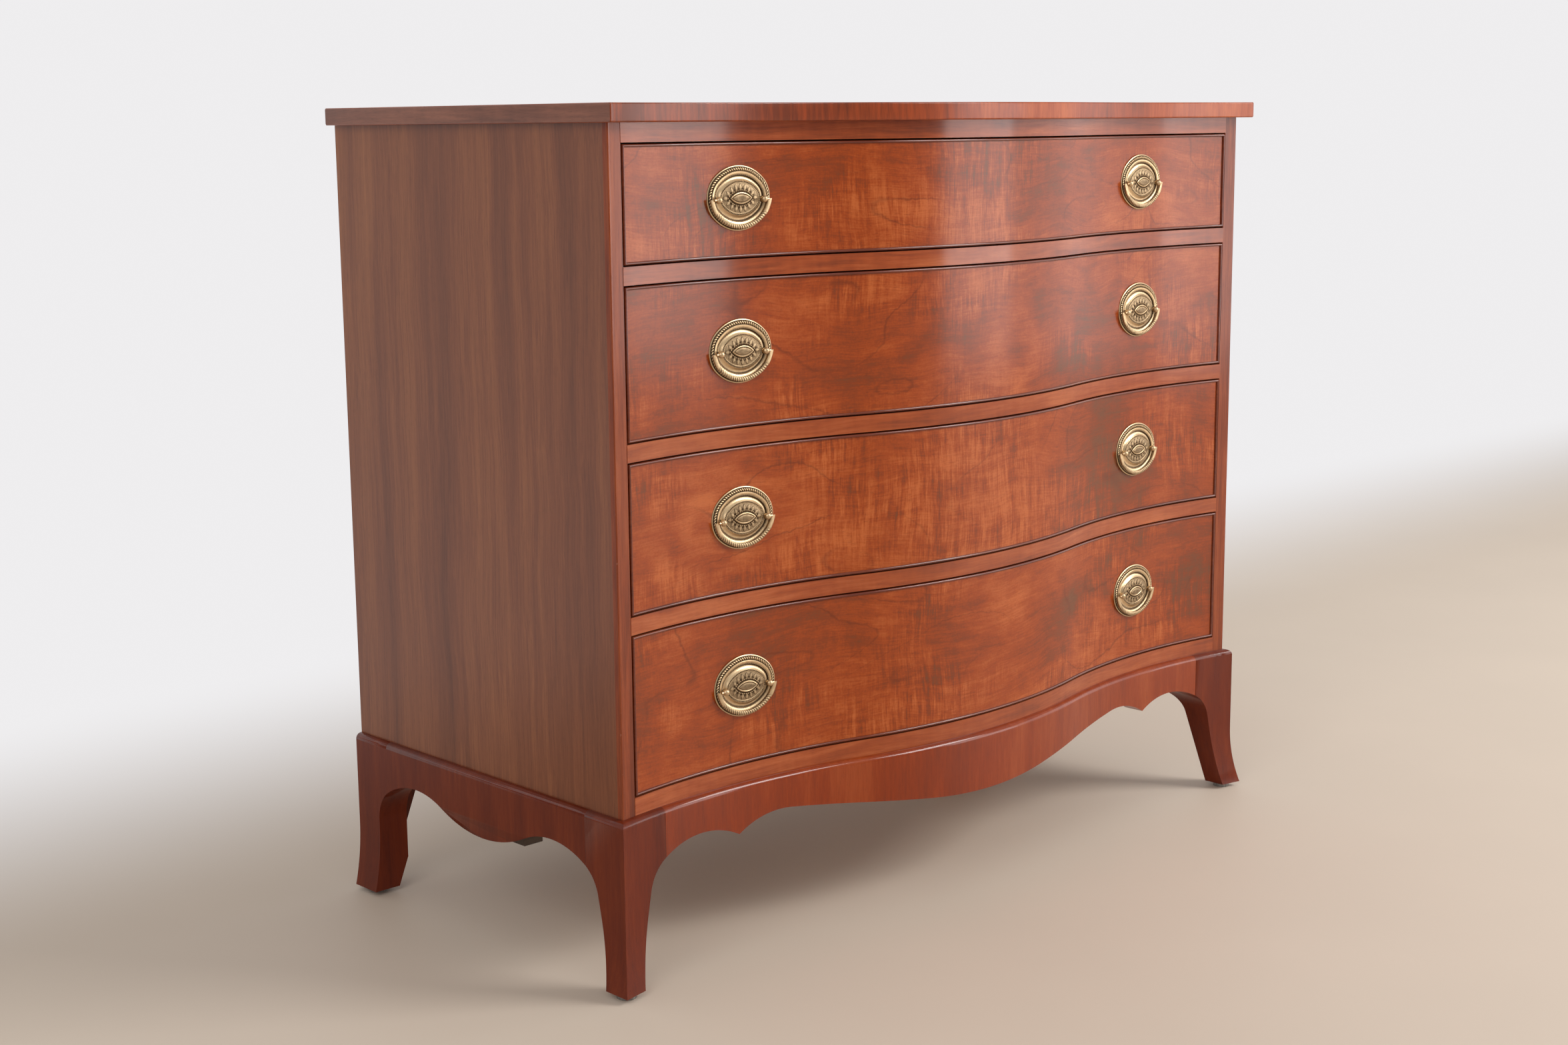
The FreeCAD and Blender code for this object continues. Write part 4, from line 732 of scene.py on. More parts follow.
APRON_FIGURE = (
    ((7.0, 7.0, 3.5), 2.0, 0.34),
    ((36.0, 36.0, 5.0), 3.0, 0.30),
    ((130.0, 130.0, 12.0), 3.0, 0.16),
    ((380.0, 380.0, 26.0), 3.0, 0.20),
)

# Smoke in the drawers' veneer: drawer, place along and up the face from -1 to 1, reach both ways, strength
SMOKE = (
    (1, -0.82, 0.30, 0.07, 0.90, 0.5),
    (1, -0.15, 0.35, 0.50, 0.35, 0.8),
    (1, 0.30, -0.20, 0.16, 0.90, 1.0),
    (1, -0.05, -0.50, 0.25, 0.40, -0.8),
    (1, 0.50, -0.60, 0.22, 0.40, -0.3),
    (2, -0.90, 0.00, 0.16, 1.20, 1.1),
    (2, -0.40, -0.10, 0.28, 0.55, 0.3),
    (2, 0.02, 0.72, 0.16, 0.30, -0.8),
    (2, 0.46, -0.05, 0.20, 0.90, 1.1),
    (2, 0.90, 0.20, 0.12, 0.80, -0.2),
    (3, -0.52, -0.20, 0.12, 0.70, -0.7),
    (3, 0.05, 0.05, 0.30, 0.90, -0.4),
    (3, 0.56, 0.00, 0.20, 1.20, 2.2),
    (3, 0.95, 0.00, 0.10, 1.10, 0.6),
    (4, -0.97, 0.00, 0.05, 1.20, 1.0),
    (4, -0.88, 0.10, 0.05, 0.70, -0.9),
    (4, -0.10, -0.15, 0.12, 0.50, 0.8),
    (4, 0.10, 0.35, 0.14, 0.40, -0.8),
    (4, 0.34, 0.20, 0.13, 0.60, 1.2),
    (4, 0.63, 0.20, 0.13, 0.90, 0.9),
    (4, 0.94, 0.20, 0.11, 0.90, 2.2),
)

# Eyes in the veneer: drawer, place along and up the face, reach both ways, rings, strength
EYES = (
    (3, -0.79, 0.00, 0.13, 0.72, 2.6, 0.8),
    (2, 0.10, -0.30, 0.14, 0.70, 1.6, 0.6),
    (4, 0.46, -0.30, 0.10, 0.60, 1.6, 0.7),
)


def finishes():
    """The chest's finishes, made once."""
    kept = bpy.data.materials
    if "drawer_veneer" in kept:
        return kept
    colours = bpy.context.scene.wood_colours

    def three(name):
        return [getattr(colours, f"{name}_{shade}") for shade in SHADES]

    level_pores, upright_pores = (95.0, 95.0, 2200.0), (2200.0, 2200.0, 95.0)
    flame_veneer("drawer_veneer", three("figure"), colours.figure_smoke)
    lacquered_wood("side_veneer", three("side"), RIBBON_FIGURE, upright_pores, 0.115, 0.65, 0.02)
    lacquered_wood("rail_veneer", three("rail"), LEVEL_FIGURE, level_pores, 0.13, 0.65, haze=0.12)
    lacquered_wood("stile_wood", three("stile"), STILE_FIGURE, upright_pores, 0.14)
    lacquered_wood("top_veneer", three("rail"), BOARD_FIGURE, (95.0, 2200.0, 2200.0), 0.1)
    lacquered_wood("top_edge", three("edge"), BANDED_FIGURE, upright_pores, 0.11)
    lacquered_wood("top_end", three("end"), LEVEL_FIGURE, level_pores, 0.13, 0.7)
    lacquered_wood("base_veneer", three("base"), APRON_FIGURE, upright_pores, 0.13, 0.6, haze=0.1)
    lacquered_wood("foot_veneer", three("foot"), APRON_FIGURE, upright_pores, 0.13, 0.4, haze=0.1)
    # The bead colours hold painted shade for the shadowed gaps round the drawers, over the wood's own dark
    # red-brown
    lacquered_wood("bead_lacquer", three("bead"), LEVEL_FIGURE, level_pores, 0.16, 1.0, haze=0.07)
    plain_wood("hidden_wood", three("inside"), BOARD_GRAIN)
    # Dark stain with painted shade, for the wood in the shadow under the base
    plain_wood("stained_wood", three("stained"), BOARD_GRAIN)
    plain_wood("tray_wood", three("inside"), DEPTH_GRAIN)
    plain_wood("core_wood", three("rail"), FRONT_GRAIN)
    aged_brass("aged_brass", tuple(colours.brass), tuple(colours.tarnish))
    dull_metal("dull_nickel")
    return kept


# Pieces


class CHEST_OT_case(bpy.types.Operator):
    """Finish the sides and the hidden parts, and replace the stiles with ones that have an eased corner"""

    bl_idname = "chest.case"
    bl_label = "Case"

    def execute(self, context):
        sizes = context.scene.chest_sizes
        plan = FrontPlan(sizes)
        woods = finishes()
        coat(("left_side", "right_side"), woods["side_veneer"])
        coat(RAILS, woods["core_wood"])
        hidden = ("bottom_board", "back_panel", "drawer_stops")
        coat(hidden, woods["hidden_wood"])
        # Painted shade: the wood under the base is coloured near black for its shadow, over a dark stain
        coat(("glue_blocks", "back_base_rail"), woods["stained_wood"])
        coat(("drawer_runners",), woods["tray_wood"])
        coat(("floor_glides",), woods["dull_nickel"])
        for side, sign in SIDES:
            node = f"{side}_stile"
            low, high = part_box(node)
            inner = min(abs(low.x), abs(high.x))
            ease = sizes.corner_ease
            turn = plan.half - ease
            outline = [(x, plan.y(x, 0.0)) for x in spread(inner, turn, 8)]
            for angle in spread(0, math.pi / 2, 6)[1:]:
                back = ease * (1 - math.cos(angle))
                outline.append((turn + ease * math.sin(angle), plan.y(turn, 0.0) + back))
            outline += [(plan.half, high.y), (inner, high.y)]
            shell = Shell([[(sign * x, y, z) for x, y in outline] for z in (low.z, high.z)])
            shell.paint(lambda x, y, z: 1.0 if turn < abs(x) < plan.half - 1e-5 else 0.0)
            show(f"{side}_front_stile", shell.mesh(node), woods["stile_wood"], "case", "rail_wood", node)
        for rail in RAILS:
            low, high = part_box(rail)
            rows = (low.z, high.z)
            strip = curved_strip(plan, high.x, rows, sizes.veneer, -sizes.veneer, sizes.stations)
            show(f"{rail}_facing", strip.mesh(rail), woods["rail_veneer"], "case", "rail_wood")
        return {"FINISHED"}


class CHEST_OT_top(bpy.types.Operator):
    """Replace the top with one that has eased edges all round"""

    bl_idname = "chest.top"
    bl_label = "Top"

    def execute(self, context):
        sizes = context.scene.chest_sizes
        plan = FrontPlan(sizes)
        low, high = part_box("top_board")
        ease = sizes.top_ease
        arc = spread(0, math.pi / 2, 5)
        sections = [(x, 0.0) for x in spread(-high.x + ease, high.x - ease, sizes.stations)]
        ends = [(high.x - ease + ease * math.sin(turn), ease - ease * math.cos(turn)) for turn in arc[1:]]
        sections = [(-x, inset) for x, inset in reversed(ends)] + sections + ends
        loops = []
        for x, inset in sections:
            face = sizes.top_overhang - inset - ease
            rear = high.y - inset - ease
            under = low.z + inset + ease
            over = high.z - inset - ease
            loop = [(x, plan.y(x, face + ease * math.sin(t)), under - ease * math.cos(t)) for t in arc]
            loop += [(x, plan.y(x, face + ease * math.cos(t)), over + ease * math.sin(t)) for t in arc]
            loop += [(x, rear + ease * math.sin(t), over + ease * math.cos(t)) for t in arc]
            loop += [(x, rear + ease * math.cos(t), under - ease * math.sin(t)) for t in arc]
            loops.append(loop)
        shell = Shell(loops)
        top = show("top", shell.mesh("top"), finishes()["top_veneer"], "case", "top_wood", "top_board")
        top.data.materials.append(finishes()["top_edge"])
        top.data.materials.append(finishes()["top_end"])
        for face in top.data.polygons:
            face.material_index = 0 if abs(face.normal.z) > FLAT else 2 if abs(face.normal.x) > FLAT else 1
        return {"FINISHED"}


class CHEST_OT_base(bpy.types.Operator):
    """Replace the front apron, and smooth the feet and the side aprons"""

    bl_idname = "chest.base"
    bl_label = "Base"

    def execute(self, context):
        sizes = context.scene.chest_sizes
        plan = FrontPlan(sizes)
        edge = ApronEdge(context.scene.apron_sizes)
        veneer = finishes()["base_veneer"]
        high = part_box("front_apron")[1]
        places = set(spread(-high.x, high.x, sizes.stations))
        for corner in edge.corners():
            places |= {corner, -corner}
        nose = sizes.nose_radius
        loops = []
        for x in sorted(places):
            rear = plan.y(x, -sizes.apron_back)
            lower = edge.z(x)
            loop = [(x, rear, lower), (x, plan.y(x, sizes.apron_proud), lower)]
            for turn in spread(0, math.pi / 2, 8):
                out = sizes.apron_proud - nose * (1 - math.cos(turn))
                loop.append((x, plan.y(x, out), high.z - nose * (1 - math.sin(turn))))
            loop.append((x, rear, high.z))
            loops.append(loop)
        shell = Shell(loops)
        show("front_apron_board", shell.mesh("apron", 20.0), veneer, "case", "base_wood", "front_apron")
        for node in FEET + SIDE_APRONS:
            smooth_copy(node, f"{node}_smooth", finishes()["foot_veneer"], "case", "base_wood")
        return {"FINISHED"}


class CHEST_OT_drawers(bpy.types.Operator):
    """Lay the figured veneer on the drawers, show their dovetails and fit their cock beads"""

    bl_idname = "chest.drawers"
    bl_label = "Drawers"

    def execute(self, context):
        sizes = context.scene.chest_sizes
        plan = FrontPlan(sizes)
        woods = finishes()
        for drawer in DRAWERS:
            name = f"drawer_{drawer}"
            coat((f"{name}_front",), woods["core_wood"])
            coat((f"{name}_back",), woods["hidden_wood"])
            coat((f"{name}_sides", f"{name}_bottom"), woods["tray_wood"])
            low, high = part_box(f"{name}_front")
            outer_low, outer_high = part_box(f"{name}_bead")
            half = outer_high.x - sizes.bead_width
            face = -sizes.drawer_recess
            rows = spread(low.z, high.z, VENEER_ROWS)
            sheet = curved_strip(plan, half, rows, face + sizes.veneer, face - sizes.veneer, sizes.stations)
            tall = high.z - low.z
            sheet.paint(lambda x, y, z: self.smoke(drawer, x / half, (2 * z - low.z - high.z) / tall))
            show(f"{name}_veneer", sheet.mesh(f"{name}_veneer"), woods["drawer_veneer"], name, "drawer_wood")
            tails = self.tails(sizes, low, high, *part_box(f"{name}_sides"))
            show(f"{name}_tails", tails.mesh(f"{name}_tails"), woods["tray_wood"], name, "inside_wood")
            bead = self.bead(sizes, plan, outer_low, outer_high)
            node = f"{name}_bead"
            show(f"{name}_cock_bead", bead.mesh(node), woods["bead_lacquer"], name, "bead_wood", node)
        return {"FINISHED"}

    def smoke(self, drawer, along, up):
        """Depth of the smoke at a place on a drawer's face."""
        depth = 0.0
        for number, middle, level, wide, tall, strength in SMOKE:
            if number == drawer:
                depth += strength * math.exp(-(((along - middle) / wide) ** 2) - ((up - level) / tall) ** 2)
        for number, middle, level, wide, tall, rings, strength in EYES:
            if number == drawer:
                away = math.hypot((along - middle) / wide, (up - level) / tall)
                depth += strength * math.exp(-away * away / EYE_REACH) * math.cos(math.pi * rings * away)
        return depth

    def tails(self, sizes, low, high, side_low, side_high):
        """Dovetails that show on each end of a drawer front."""
        number = sizes.tail_count
        width = (high.z - low.z - 2 * sizes.edge_pin - (number - 1) * sizes.pin_width) / number
        narrowing = sizes.tail_length * math.tan(sizes.tail_slope)
        tip, root = side_low.y, side_low.y + sizes.tail_length
        shell = Shell()
        for _, sign in SIDES:
            for step in range(number):
                foot = low.z + sizes.edge_pin + step * (width + sizes.pin_width)
                head = foot + width
                outline = ((tip, foot), (root, foot + narrowing), (root, head - narrowing), (tip, head))
                ends = (side_high.x, high.x + sizes.tail_proud)
                shell.skin([[(sign * x, y, z) for y, z in outline] for x in ends])
        return shell

    def bead(self, sizes, plan, low, high):
        """Four half-round strips that meet in mitres at the corners."""
        width = sizes.bead_width
        radius = width / 2
        crest = sizes.bead_proud - radius
        round_over = []
        for turn in spread(0, math.pi, 10):
            round_over.append((radius - radius * math.cos(turn), crest + radius * math.sin(turn)))
        shell = Shell()
        for bottom, up in ((low.z, 1), (high.z, -1)):
            profile = [(0.0, -sizes.bead_depth)] + round_over + [(width, -sizes.bead_depth)]
            loops = []
            for share in spread(-1, 1, sizes.stations):
                loop = []
                for across, out in profile:
                    x = share * (high.x - across)
                    loop.append((x, plan.y(x, out), bottom + up * across))
                loops.append(loop)
            shell.skin(loops)
        for _, sign in SIDES:
            profile = [(0.0, -sizes.bead_rebate)] + round_over + [(width, -sizes.bead_rebate)]
            loops = []
            for share in (0, 1):
                loop = []
                for across, out in profile:
                    x = sign * (high.x - across)
                    span = high.z - low.z - 2 * across
                    loop.append((x, plan.y(x, out), low.z + across + share * span))
                loops.append(loop)
            shell.skin(loops)
        return shell


def pull_spots(sizes, pulls, drawer):
    """Side and place of each pull of a drawer: x runs along the front and -y points out of it."""
    plan = FrontPlan(sizes)
    lean = math.asin((plan.hollow_x - pulls.pull_x) / plan.hollow)
    radius = plan.hollow + sizes.drawer_recess
    low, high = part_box(f"drawer_{drawer}_pull_plates")
    for side, sign in SIDES:
        spot = Vector((
            sign * (plan.hollow_x - radius * math.sin(lean)),
            plan.hollow_y + radius * math.cos(lean),
            (low.z + high.z) / 2,
        ))
        yield side, Matrix.Translation(spot) @ Matrix.Rotation(sign * lean, 4, "Z")


def plate_lift(sizes, pulls):
    """Height of a flat plate's back over the hollow front."""
    radius = sizes.hollow_radius + sizes.drawer_recess
    return radius - math.sqrt(radius**2 - pulls.plate_half**2) + pulls.plate_seat


def row_tree():
    """Nodes that set a small piece at equal steps along a flat path."""
    name = "row_along_path"
    if name in bpy.data.node_groups:
        return bpy.data.node_groups[name]
    tree = bpy.data.node_groups.new(name, "GeometryNodeTree")
    sockets = {"Path": "Geometry", "Piece": "Object", "Count": "Int"}
    sockets |= {"Size": "Vector", "Slant": "Float", "Finish": "Material"}
    for label, kind in sockets.items():
        tree.interface.new_socket(label, in_out="INPUT", socket_type=f"NodeSocket{kind}")
    tree.interface.new_socket("Row", in_out="OUTPUT", socket_type="NodeSocketGeometry")
    new = tree.nodes.new
    given = new("NodeGroupInput").outputs
    result = new("NodeGroupOutput").inputs
    steps = new("GeometryNodeResampleCurve")
    tangent = new("GeometryNodeInputTangent")
    align = new("FunctionNodeAlignRotationToVector")
    align.axis = "X"
    align.pivot_axis = "Y"
    slant = new("FunctionNodeAxisAngleToRotation")
    slant.inputs["Axis"].default_value = (0, 1, 0)
    turned = new("FunctionNodeRotateRotation")
    turned.rotation_space = "LOCAL"
    piece = new("GeometryNodeObjectInfo")
    row = new("GeometryNodeInstanceOnPoints")
    solid = new("GeometryNodeRealizeInstances")
    finish = new("GeometryNodeSetMaterial")
    pairs = (
        (given["Path"], steps.inputs["Curve"]),
        (given["Count"], steps.inputs["Count"]),
        (tangent.outputs[0], align.inputs["Vector"]),
        (given["Slant"], slant.inputs["Angle"]),
        (align.outputs[0], turned.inputs["Rotation"]),
        (slant.outputs[0], turned.inputs["Rotate By"]),
        (given["Piece"], piece.inputs["Object"]),
        (steps.outputs[0], row.inputs["Points"]),
        (piece.outputs["Geometry"], row.inputs["Instance"]),
        (turned.outputs[0], row.inputs["Rotation"]),
        (given["Size"], row.inputs["Scale"]),
        (row.outputs[0], solid.inputs[0]),
        (solid.outputs[0], finish.inputs["Geometry"]),
        (given["Finish"], finish.inputs["Material"]),
        (finish.outputs[0], result["Row"]),
    )
    for start, end in pairs:
        tree.links.new(start, end)
    return tree


def row_along(points, piece, number, size, slant):
    """Shell of a piece repeated along a closed path of (x, y, z) points."""
    curve = bpy.data.curves.new("row_path", "CURVE")
    curve.dimensions = "3D"
    spline = curve.splines.new("POLY")
    spline.points.add(len(points) - 1)
    for place, point in zip(spline.points, points):
        place.co = (*point, 1)
    spline.use_cyclic_u = True
    path = bpy.data.objects.new("row_path", curve)
    model = bpy.data.objects.new("row_piece", piece.mesh("row_piece"))
    for item in (path, model):
        bpy.context.scene.collection.objects.link(item)
    maker = path.modifiers.new("row", "NODES")
    maker.node_group = row_tree()
    brass = finishes()["aged_brass"]
    values = {"Piece": model, "Count": number, "Size": size, "Slant": slant, "Finish": brass}
    for socket in maker.node_group.interface.items_tree:
        if socket.name in values:
            maker[socket.identifier] = values[socket.name]
    seen = path.evaluated_get(bpy.context.evaluated_depsgraph_get())
    mesh = bpy.data.meshes.new_from_object(seen)
    shell = Shell()
    shell.vertices = [tuple(vertex.co) for vertex in mesh.vertices]
    shell.faces = [tuple(face.vertices) for face in mesh.polygons]
    shell.stain = [value.value for value in mesh.attributes["stain"].data]
    path.modifiers.remove(maker)
    bpy.data.objects.remove(path)
    bpy.data.objects.remove(model)
    bpy.data.curves.remove(curve)
    bpy.data.meshes.remove(mesh)
    return shell


def leaf():
    """Rounded leaf one unit long in x, wide in z and high in -y, dark at its foot."""
    rows = ((0.0, 1.0, 1.0), (0.35, 0.95, 0.6), (0.75, 0.66, 0.1), (1.0, 0.2, 0.0))
    loops = [[(x, -height, z) for x, z in circle(girth * 0.5, 8)] for height, girth, _ in rows]
    return Shell(loops, [stain for _, _, stain in rows])


def petal():
    """Pointed petal with a ridge, one unit long in z with its point at -z, wide in x and high in -y."""
    outline = ((0.38, 0.5), (0.5, 0.0), (0.3, -0.3), (0.0, -0.5), (-0.3, -0.3), (-0.5, 0.0), (-0.38, 0.5))
    shell = Shell()
    shell.vertices = [(x, 0.0, z) for x, z in outline] + [(0.92 * x, -0.5, 0.92 * z) for x, z in outline]
    shell.vertices += [(0.0, -0.9, 0.46), (0.0, -1.0, 0.0), (0.0, -0.75, -0.3)]
    count = len(outline)
    for step in range(count):
        after = (step + 1) % count
        shell.faces.append((step, after, count + after, count + step))
    shell.faces += [(7, 8, 15, 14), (8, 9, 16, 15), (9, 10, 16), (10, 11, 16), (11, 12, 15, 16)]
    shell.faces += [(12, 13, 14, 15), (13, 7, 14), tuple(reversed(range(count)))]
    shell.stain = [1.0] * count + [0.7] * count + [0.5, 0.25, 0.3]
    return shell


def navette_loop(half_length, half_width, height, count=48):
    """Pointed oval of two arcs."""
    radius = (half_length**2 + half_width**2) / (2 * half_width)
    reach = math.asin(half_length / radius)
    loop = []
    for sign in (1, -1):
        for angle in spread(reach, -reach, count // 2)[:-1]:
            across = radius * math.cos(angle) - radius + half_width
            loop.append((sign * radius * math.sin(angle), -height, sign * across))
    return loop


def plate_shell(pulls):
    """Stamped oval plate with its rope border, milled ring, petals, pearls and navette, back at y = 0."""
    oval = Oval(pulls)
    angles = oval.even_angles(0.0, 0.0, math.tau, PLATE_STEPS)[:-1]
    loops = []
    for inset, height, _ in PLATE_RELIEF:
        points = [oval.point(angle, inset * MM) for angle in angles]
        loops.append([(x, -height * MM, z) for x, z in points])
    shell = Shell(loops, [stain for _, _, stain in PLATE_RELIEF])
    rings = []
    for length, width, height, _ in NAVETTE_RELIEF:
        rings.append(navette_loop(length * MM, width * MM, height * MM))
    shell.skin(rings, [row[3] for row in NAVETTE_RELIEF])

    def path(inset, height):
        return [(x, -height * MM, z) for x, z in (oval.point(angle, inset * MM) for angle in angles)]

    rows = (
        (path(3.7, 1.1), leaf(), pulls.rope_leaves, (4.7, 0.95, 1.95), ROPE_SLANT),
        (path(9.55, 1.7), leaf(), pulls.milled_ticks, (0.85, 0.6, 1.1), 0.0),
        (path(16.65, 2.9), leaf(), pulls.milled_ticks // 2, (0.95, 0.5, 1.1), 0.0),
        (navette_loop(20.0 * MM, 11.4 * MM, 3.2 * MM, 96), petal(), pulls.petals, (6.0, 1.2, 7.4), 0.0),
        (navette_loop(17.4 * MM, 8.3 * MM, 3.7 * MM, 96), leaf(), pulls.pearls, (1.9, 1.6, 1.9), 0.0),
    )
    for points, piece, number, size, slant in rows:
        shell.add(row_along(points, piece, number, [part * MM for part in size], slant))
    return shell


def turned(profile, segments=28):
    """A turned shape about -y from (radius, reach) points, with closed ends."""
    return Shell([[(x, -reach, z) for x, z in circle(radius, segments)] for radius, reach in profile])


def post_shell(sizes, pulls):
    """Post with a collar on the plate, a neck, a ball, a shank through the drawer front and a nut inside."""
    lift = plate_lift(sizes, pulls)
    ball = pulls.ball_diameter / 2
    pivot = lift + pulls.pivot_reach
    shank = pulls.shank_diameter / 2
    collar = pulls.collar_diameter / 2
    inside = -sizes.front_thickness - 1.5 * pulls.nut_thickness
    seat = lift + PLATE_BASE
    profile = [
        (shank * 0.8, inside),
        (shank, inside + 0.0005),
        (shank, seat),
        (collar, seat),
        (collar * 1.02, seat + 0.0004),
        (collar * 0.94, seat + 0.0008),
        (shank * 1.1, seat + 0.0010),
    ]
    start = math.asin(shank / ball)
    for turn in spread(start, math.pi - 0.12, 12):
        profile.append((ball * math.sin(turn), pivot - ball * math.cos(turn)))
    shell = turned(profile)
    shell.paint(lambda x, y, z: 0.12 if y < -lift - BRIGHT_FROM else 0.7)
    nut = pulls.nut_diameter / 2
    far = inside + pulls.nut_thickness * 1.14
    near = inside + pulls.nut_thickness * 0.64
    shell.add(turned([(nut * 0.86, near - 0.0004), (nut, near), (nut, far + 0.001), (nut, far + 0.0017)], 6))
    return shell


def bail_shell(sizes, pulls):
    """Half-oval bail with a rope twist, smooth pointed ends and two pins, drawn from the plate's middle."""
    oval = Oval(pulls)
    pivot = plate_lift(sizes, pulls) + pulls.pivot_reach
    middle = pulls.bail_inset + pulls.bail_band / 2
    wide, deep = pulls.bail_band / 2, pulls.bail_thickness / 2
    start = math.asin(pulls.post_drop / (oval.small - middle))
    angles = oval.even_angles(middle, math.pi + start, math.tau - start, BAIL_STEPS)
    drop = pulls.post_drop
    path = [(oval.point(angle, middle), angle, step / BAIL_STEPS) for step, angle in enumerate(angles)]
    left = [((path[0][0][0], up - drop), math.pi, 0.0) for up in spread(pulls.bail_tip, 0.0, 3)[:-1]]
    right = [((path[-1][0][0], up - drop), math.tau, 1.0) for up in spread(0.0, pulls.bail_tip, 3)[1:]]
    loops = []
    stains = []
    for (x, z), angle, share in left + path + right:
        edge = min(share, 1 - share)
        rope = min(1.0, max(0.0, (edge - ROPE_START) / ROPE_RISE))
        end = max(0.0, 1.0 - edge / TIP_SHARE) ** 1.5
        level = pivot - pulls.bail_sag * (1.0 - TIP_RISE * end)
        thick = deep * (1.0 - TIP_THIN * end)
        twist = math.tau * pulls.bail_twists * share
        loop = []
        for turn in spread(0, math.tau, 24)[:-1]:
            lobe = abs(math.cos(turn - twist)) ** ROPE_STRAND
            girth = 1.0 - rope * ROPE_GROOVE * (1.0 - lobe)
            stains.append(BAIL_TARNISH + rope * GROOVE_TARNISH * (1.0 - lobe))
            across, depth = math.cos(turn), math.sin(turn)
            square = BAIL_SQUARE + ROPE_ROUND * rope
            out = wide * girth * math.copysign(abs(across) ** square, across)
            out += end * pulls.bail_flare * max(0.0, across)
            depth = thick * girth * math.copysign(abs(depth) ** square, depth)
            loop.append((x + out * math.cos(angle), -level + depth, z + out * math.sin(angle)))
        loops.append(loop)
    shell = Shell(loops)
    shell.stain = stains
    pin = pulls.pin_diameter / 2
    inner = pulls.plate_half - pulls.bail_inset - pulls.bail_band
    for _, sign in SIDES:
        ends = (inner + MM, inner + MM - pulls.pin_reach)
        shell.skin([[(sign * x, -pivot + y, z - drop) for y, z in circle(pin, 14)] for x in ends])
    return shell


class CHEST_OT_pulls(bpy.types.Operator):
    """Set the oval plates, their posts and the bails on the drawers"""

    bl_idname = "chest.pulls"
    bl_label = "Pulls"

    def execute(self, context):
        sizes = context.scene.chest_sizes
        pulls = context.scene.pull_sizes
        brass = finishes()["aged_brass"]
        lift = Matrix.Translation((0, -plate_lift(sizes, pulls), 0))
        plate = plate_shell(pulls)
        post = post_shell(sizes, pulls)
        bail = bail_shell(sizes, pulls)
        for drawer in DRAWERS:
            name = f"drawer_{drawer}"
            plates = Shell()
            posts = Shell()
            for side, spot in pull_spots(sizes, pulls, drawer):
                plates.add(plate, spot @ lift)
                for _, sign in SIDES:
                    place = Matrix.Translation((sign * pulls.post_spacing / 2, 0, -pulls.post_drop))
                    posts.add(post, spot @ place)
                swing = Shell()
                swing.add(bail, spot)
                body = f"{name}_{side}_bail"
                show(f"{body}_rope", swing.mesh(body, 40.0), brass, body, "brass", body)
            show(f"{name}_plates", plates.mesh(f"{name}_plates"), brass, name, "brass", f"{name}_pull_plates")
            show(f"{name}_posts", posts.mesh(f"{name}_posts"), brass, name, "brass", f"{name}_pull_posts")
        return {"FINISHED"}


# Stage


# Camera: sensor width and focal length in mm, place, and the directions to its right, up and back
SENSOR, FOCAL = 36.0, 50.74
CAMERA_PLACE = (-1.9052, -1.9069, 0.8918)
CAMERA_AXES = ((0.72215, -0.69171, -0.00927), (0.12934, 0.12183, 0.98403), (-0.67954, -0.71182, 0.17743))

# Name, place, aim, width, height and power of the lights
LIGHTS = (
    ("key_light", (2.5, -3.1, 3.0), (0, 0, 0.45), 1.8, 1.4, 118),
    ("near_window", (2.73, -2.94, 1.0), (0, -0.3, 0.9), 1.4, 1.6, 32),
    ("far_window", (3.58, -1.57, 1.0), (0, -0.3, 0.9), 2.0, 1.6, 17),
    ("fill_light", (-3.4, -1.6, 2.4), (0, 0, 0.45), 2.4, 2.0, 36),
)


def area_light(name, place, aim, wide, tall, power):
    lamp = bpy.data.lights.new(name, "AREA")
    lamp.shape = "RECTANGLE"
    lamp.size = wide
    lamp.size_y = tall
    lamp.energy = power
    light = bpy.data.objects.new(name, lamp)
    light.location = place
    light.rotation_euler = (Vector(aim) - Vector(place)).to_track_quat("-Z", "Y").to_euler()
    bpy.context.scene.collection.objects.link(light)


def rise(tree, value, start, end, kind="LINEAR"):
    """Rise from 0 to 1 as a value goes from start to end."""
    node = tree.nodes.new("ShaderNodeMapRange")
    node.interpolation_type = kind
    node.inputs["From Min"].default_value = start
    node.inputs["From Max"].default_value = end
    tree.links.new(value, node.inputs["Value"])
    return node.outputs[0]


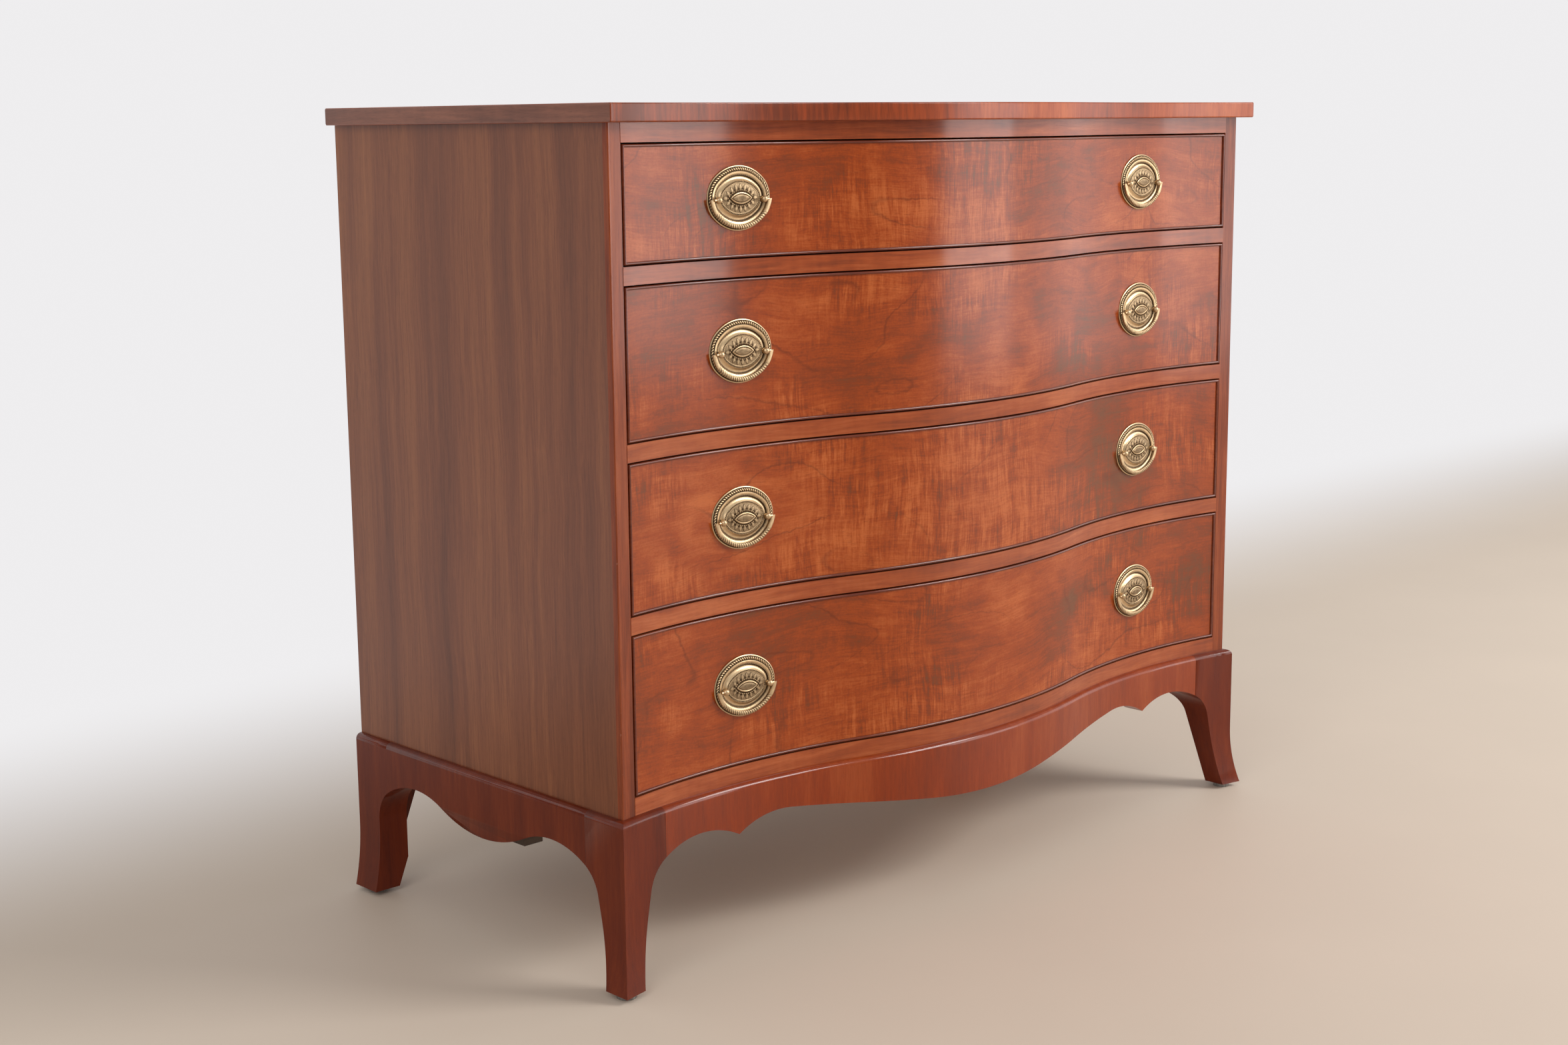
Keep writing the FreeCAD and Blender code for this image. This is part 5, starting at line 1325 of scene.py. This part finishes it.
class CHEST_OT_stage(bpy.types.Operator):
    """Set the floor, the light and the camera"""

    bl_idname = "chest.stage"
    bl_label = "Stage"

    def execute(self, context):
        scene = context.scene
        self.floor(scene)
        self.surround(scene)
        for light in LIGHTS:
            area_light(*light)
        lens = bpy.data.cameras.new("camera")
        lens.sensor_fit = "HORIZONTAL"
        lens.sensor_width = SENSOR
        lens.lens = FOCAL
        camera = bpy.data.objects.new("camera", lens)
        turn = Matrix(CAMERA_AXES).transposed().to_4x4()
        camera.matrix_world = Matrix.Translation(CAMERA_PLACE) @ turn
        scene.collection.objects.link(camera)
        scene.camera = camera
        scene.view_settings.view_transform = "Standard"
        return {"FINISHED"}

    def floor(self, scene):
        shell = Shell([[(x, y, z) for x, y in circle(FLOOR_RADIUS, 96)] for z in (-0.02, 0.0)])
        finish = Finish("floor_paint")
        clouds = finish.noise(finish.stretch((3.0, 3.0, 3.0)), 3.0)
        colour = tuple(scene.wood_colours.floor)
        paler = tuple(min(1.0, 1.03 * part) for part in colour)
        finish.set(base_color=finish.ramp(clouds, (0.3, colour), (0.7, paler)), roughness=0.6)
        apart = finish.add("ShaderNodeSeparateXYZ")
        finish.put(apart.inputs[0], finish.place)
        far = finish.add("ShaderNodeVectorMath")
        far.operation = "LENGTH"
        finish.put(far.inputs[0], finish.place)
        behind = rise(finish.tree, apart.outputs["Y"], *FADE_BEHIND, "SMOOTHSTEP")
        around = rise(finish.tree, far.outputs["Value"], *FADE_AROUND, "SMOOTHSTEP")
        faded = finish.math("MAXIMUM", behind, around)
        path = finish.add("ShaderNodeLightPath").outputs
        eye = finish.math("MAXIMUM", path["Is Camera Ray"], path["Is Glossy Ray"])
        eye = finish.math("MAXIMUM", eye, path["Is Transmission Ray"])
        white = finish.add("ShaderNodeEmission")
        white.inputs["Color"].default_value = (*PAPER, 1)
        blend = finish.add("ShaderNodeMixShader")
        finish.put(blend.inputs[0], finish.math("MULTIPLY", eye, faded))
        finish.put(blend.inputs[1], finish.surface.outputs[0])
        finish.put(blend.inputs[2], white.outputs[0])
        output = next(node for node in finish.tree.nodes if node.type == "OUTPUT_MATERIAL")
        finish.put(output.inputs["Surface"], blend.outputs[0])
        mesh = shell.mesh("floor")
        mesh.materials.append(finish.material)
        floor = bpy.data.objects.new("floor", mesh)
        scene.collection.objects.link(floor)

    def surround(self, scene):
        """White for the eye, even light for the wood, and in gloss a room, white behind and bright above."""
        world = bpy.data.worlds.new("surround")
        scene.world = world
        world.use_nodes = True
        tree = world.node_tree
        nodes = tree.nodes
        link = tree.links.new
        nodes.clear()

        def sky(colour, strength):
            node = nodes.new("ShaderNodeBackground")
            node.inputs[0].default_value = (*colour, 1)
            node.inputs[1].default_value = strength
            return node.outputs[0]

        def choose(factor, first, second):
            node = nodes.new("ShaderNodeMixShader")
            link(factor, node.inputs[0])
            link(first, node.inputs[1])
            link(second, node.inputs[2])
            return node.outputs[0]

        path = nodes.new("ShaderNodeLightPath").outputs
        mirrored = nodes.new("ShaderNodeMath")
        mirrored.operation = "MAXIMUM"
        link(path["Is Glossy Ray"], mirrored.inputs[0])
        link(path["Is Transmission Ray"], mirrored.inputs[1])
        towards = nodes.new("ShaderNodeSeparateXYZ")
        link(nodes.new("ShaderNodeTexCoord").outputs["Object"], towards.inputs[0])
        white = sky(PAPER, 1.0)
        level, overhead = sky((0.86, 0.82, 0.78), 0.4), sky((1.0, 0.98, 0.95), 0.6)
        front = choose(rise(tree, towards.outputs["Z"], 0.2, 0.6), level, overhead)
        room = choose(rise(tree, towards.outputs["Y"], -0.4, 0.3), front, white)
        seen = choose(mirrored.outputs[0], sky((1.0, 0.985, 0.97), 0.5), room)
        seen = choose(path["Is Camera Ray"], seen, white)
        link(seen, nodes.new("ShaderNodeOutputWorld").inputs[0])


class CHEST_PT_sidebar(bpy.types.Panel):
    """Lists the steps that dress the chest"""

    bl_idname = "CHEST_PT_sidebar"
    bl_label = "Serpentine chest"
    bl_space_type = "VIEW_3D"
    bl_region_type = "UI"
    bl_category = "Chest"

    def draw(self, context):
        for step in STEPS:
            self.layout.operator(step.bl_idname)


GROUPS = (
    ("chest_sizes", ChestSizes),
    ("apron_sizes", ApronSizes),
    ("pull_sizes", PullSizes),
    ("wood_colours", WoodColours),
)
STEPS = (CHEST_OT_stage, CHEST_OT_case, CHEST_OT_top, CHEST_OT_base, CHEST_OT_drawers, CHEST_OT_pulls)


def register():
    for name, group in GROUPS:
        bpy.utils.register_class(group)
        setattr(bpy.types.Scene, name, PointerProperty(type=group))
    for cls in STEPS + (CHEST_PT_sidebar,):
        bpy.utils.register_class(cls)


def unregister():
    for cls in (CHEST_PT_sidebar,) + STEPS[::-1]:
        bpy.utils.unregister_class(cls)
    for name, group in GROUPS[::-1]:
        delattr(bpy.types.Scene, name)
        bpy.utils.unregister_class(group)


def main():
    register()
    bpy.ops.chest.stage()
    bpy.ops.chest.case()
    bpy.ops.chest.top()
    bpy.ops.chest.base()
    bpy.ops.chest.drawers()
    bpy.ops.chest.pulls()


if __name__ == "__main__":
    main()
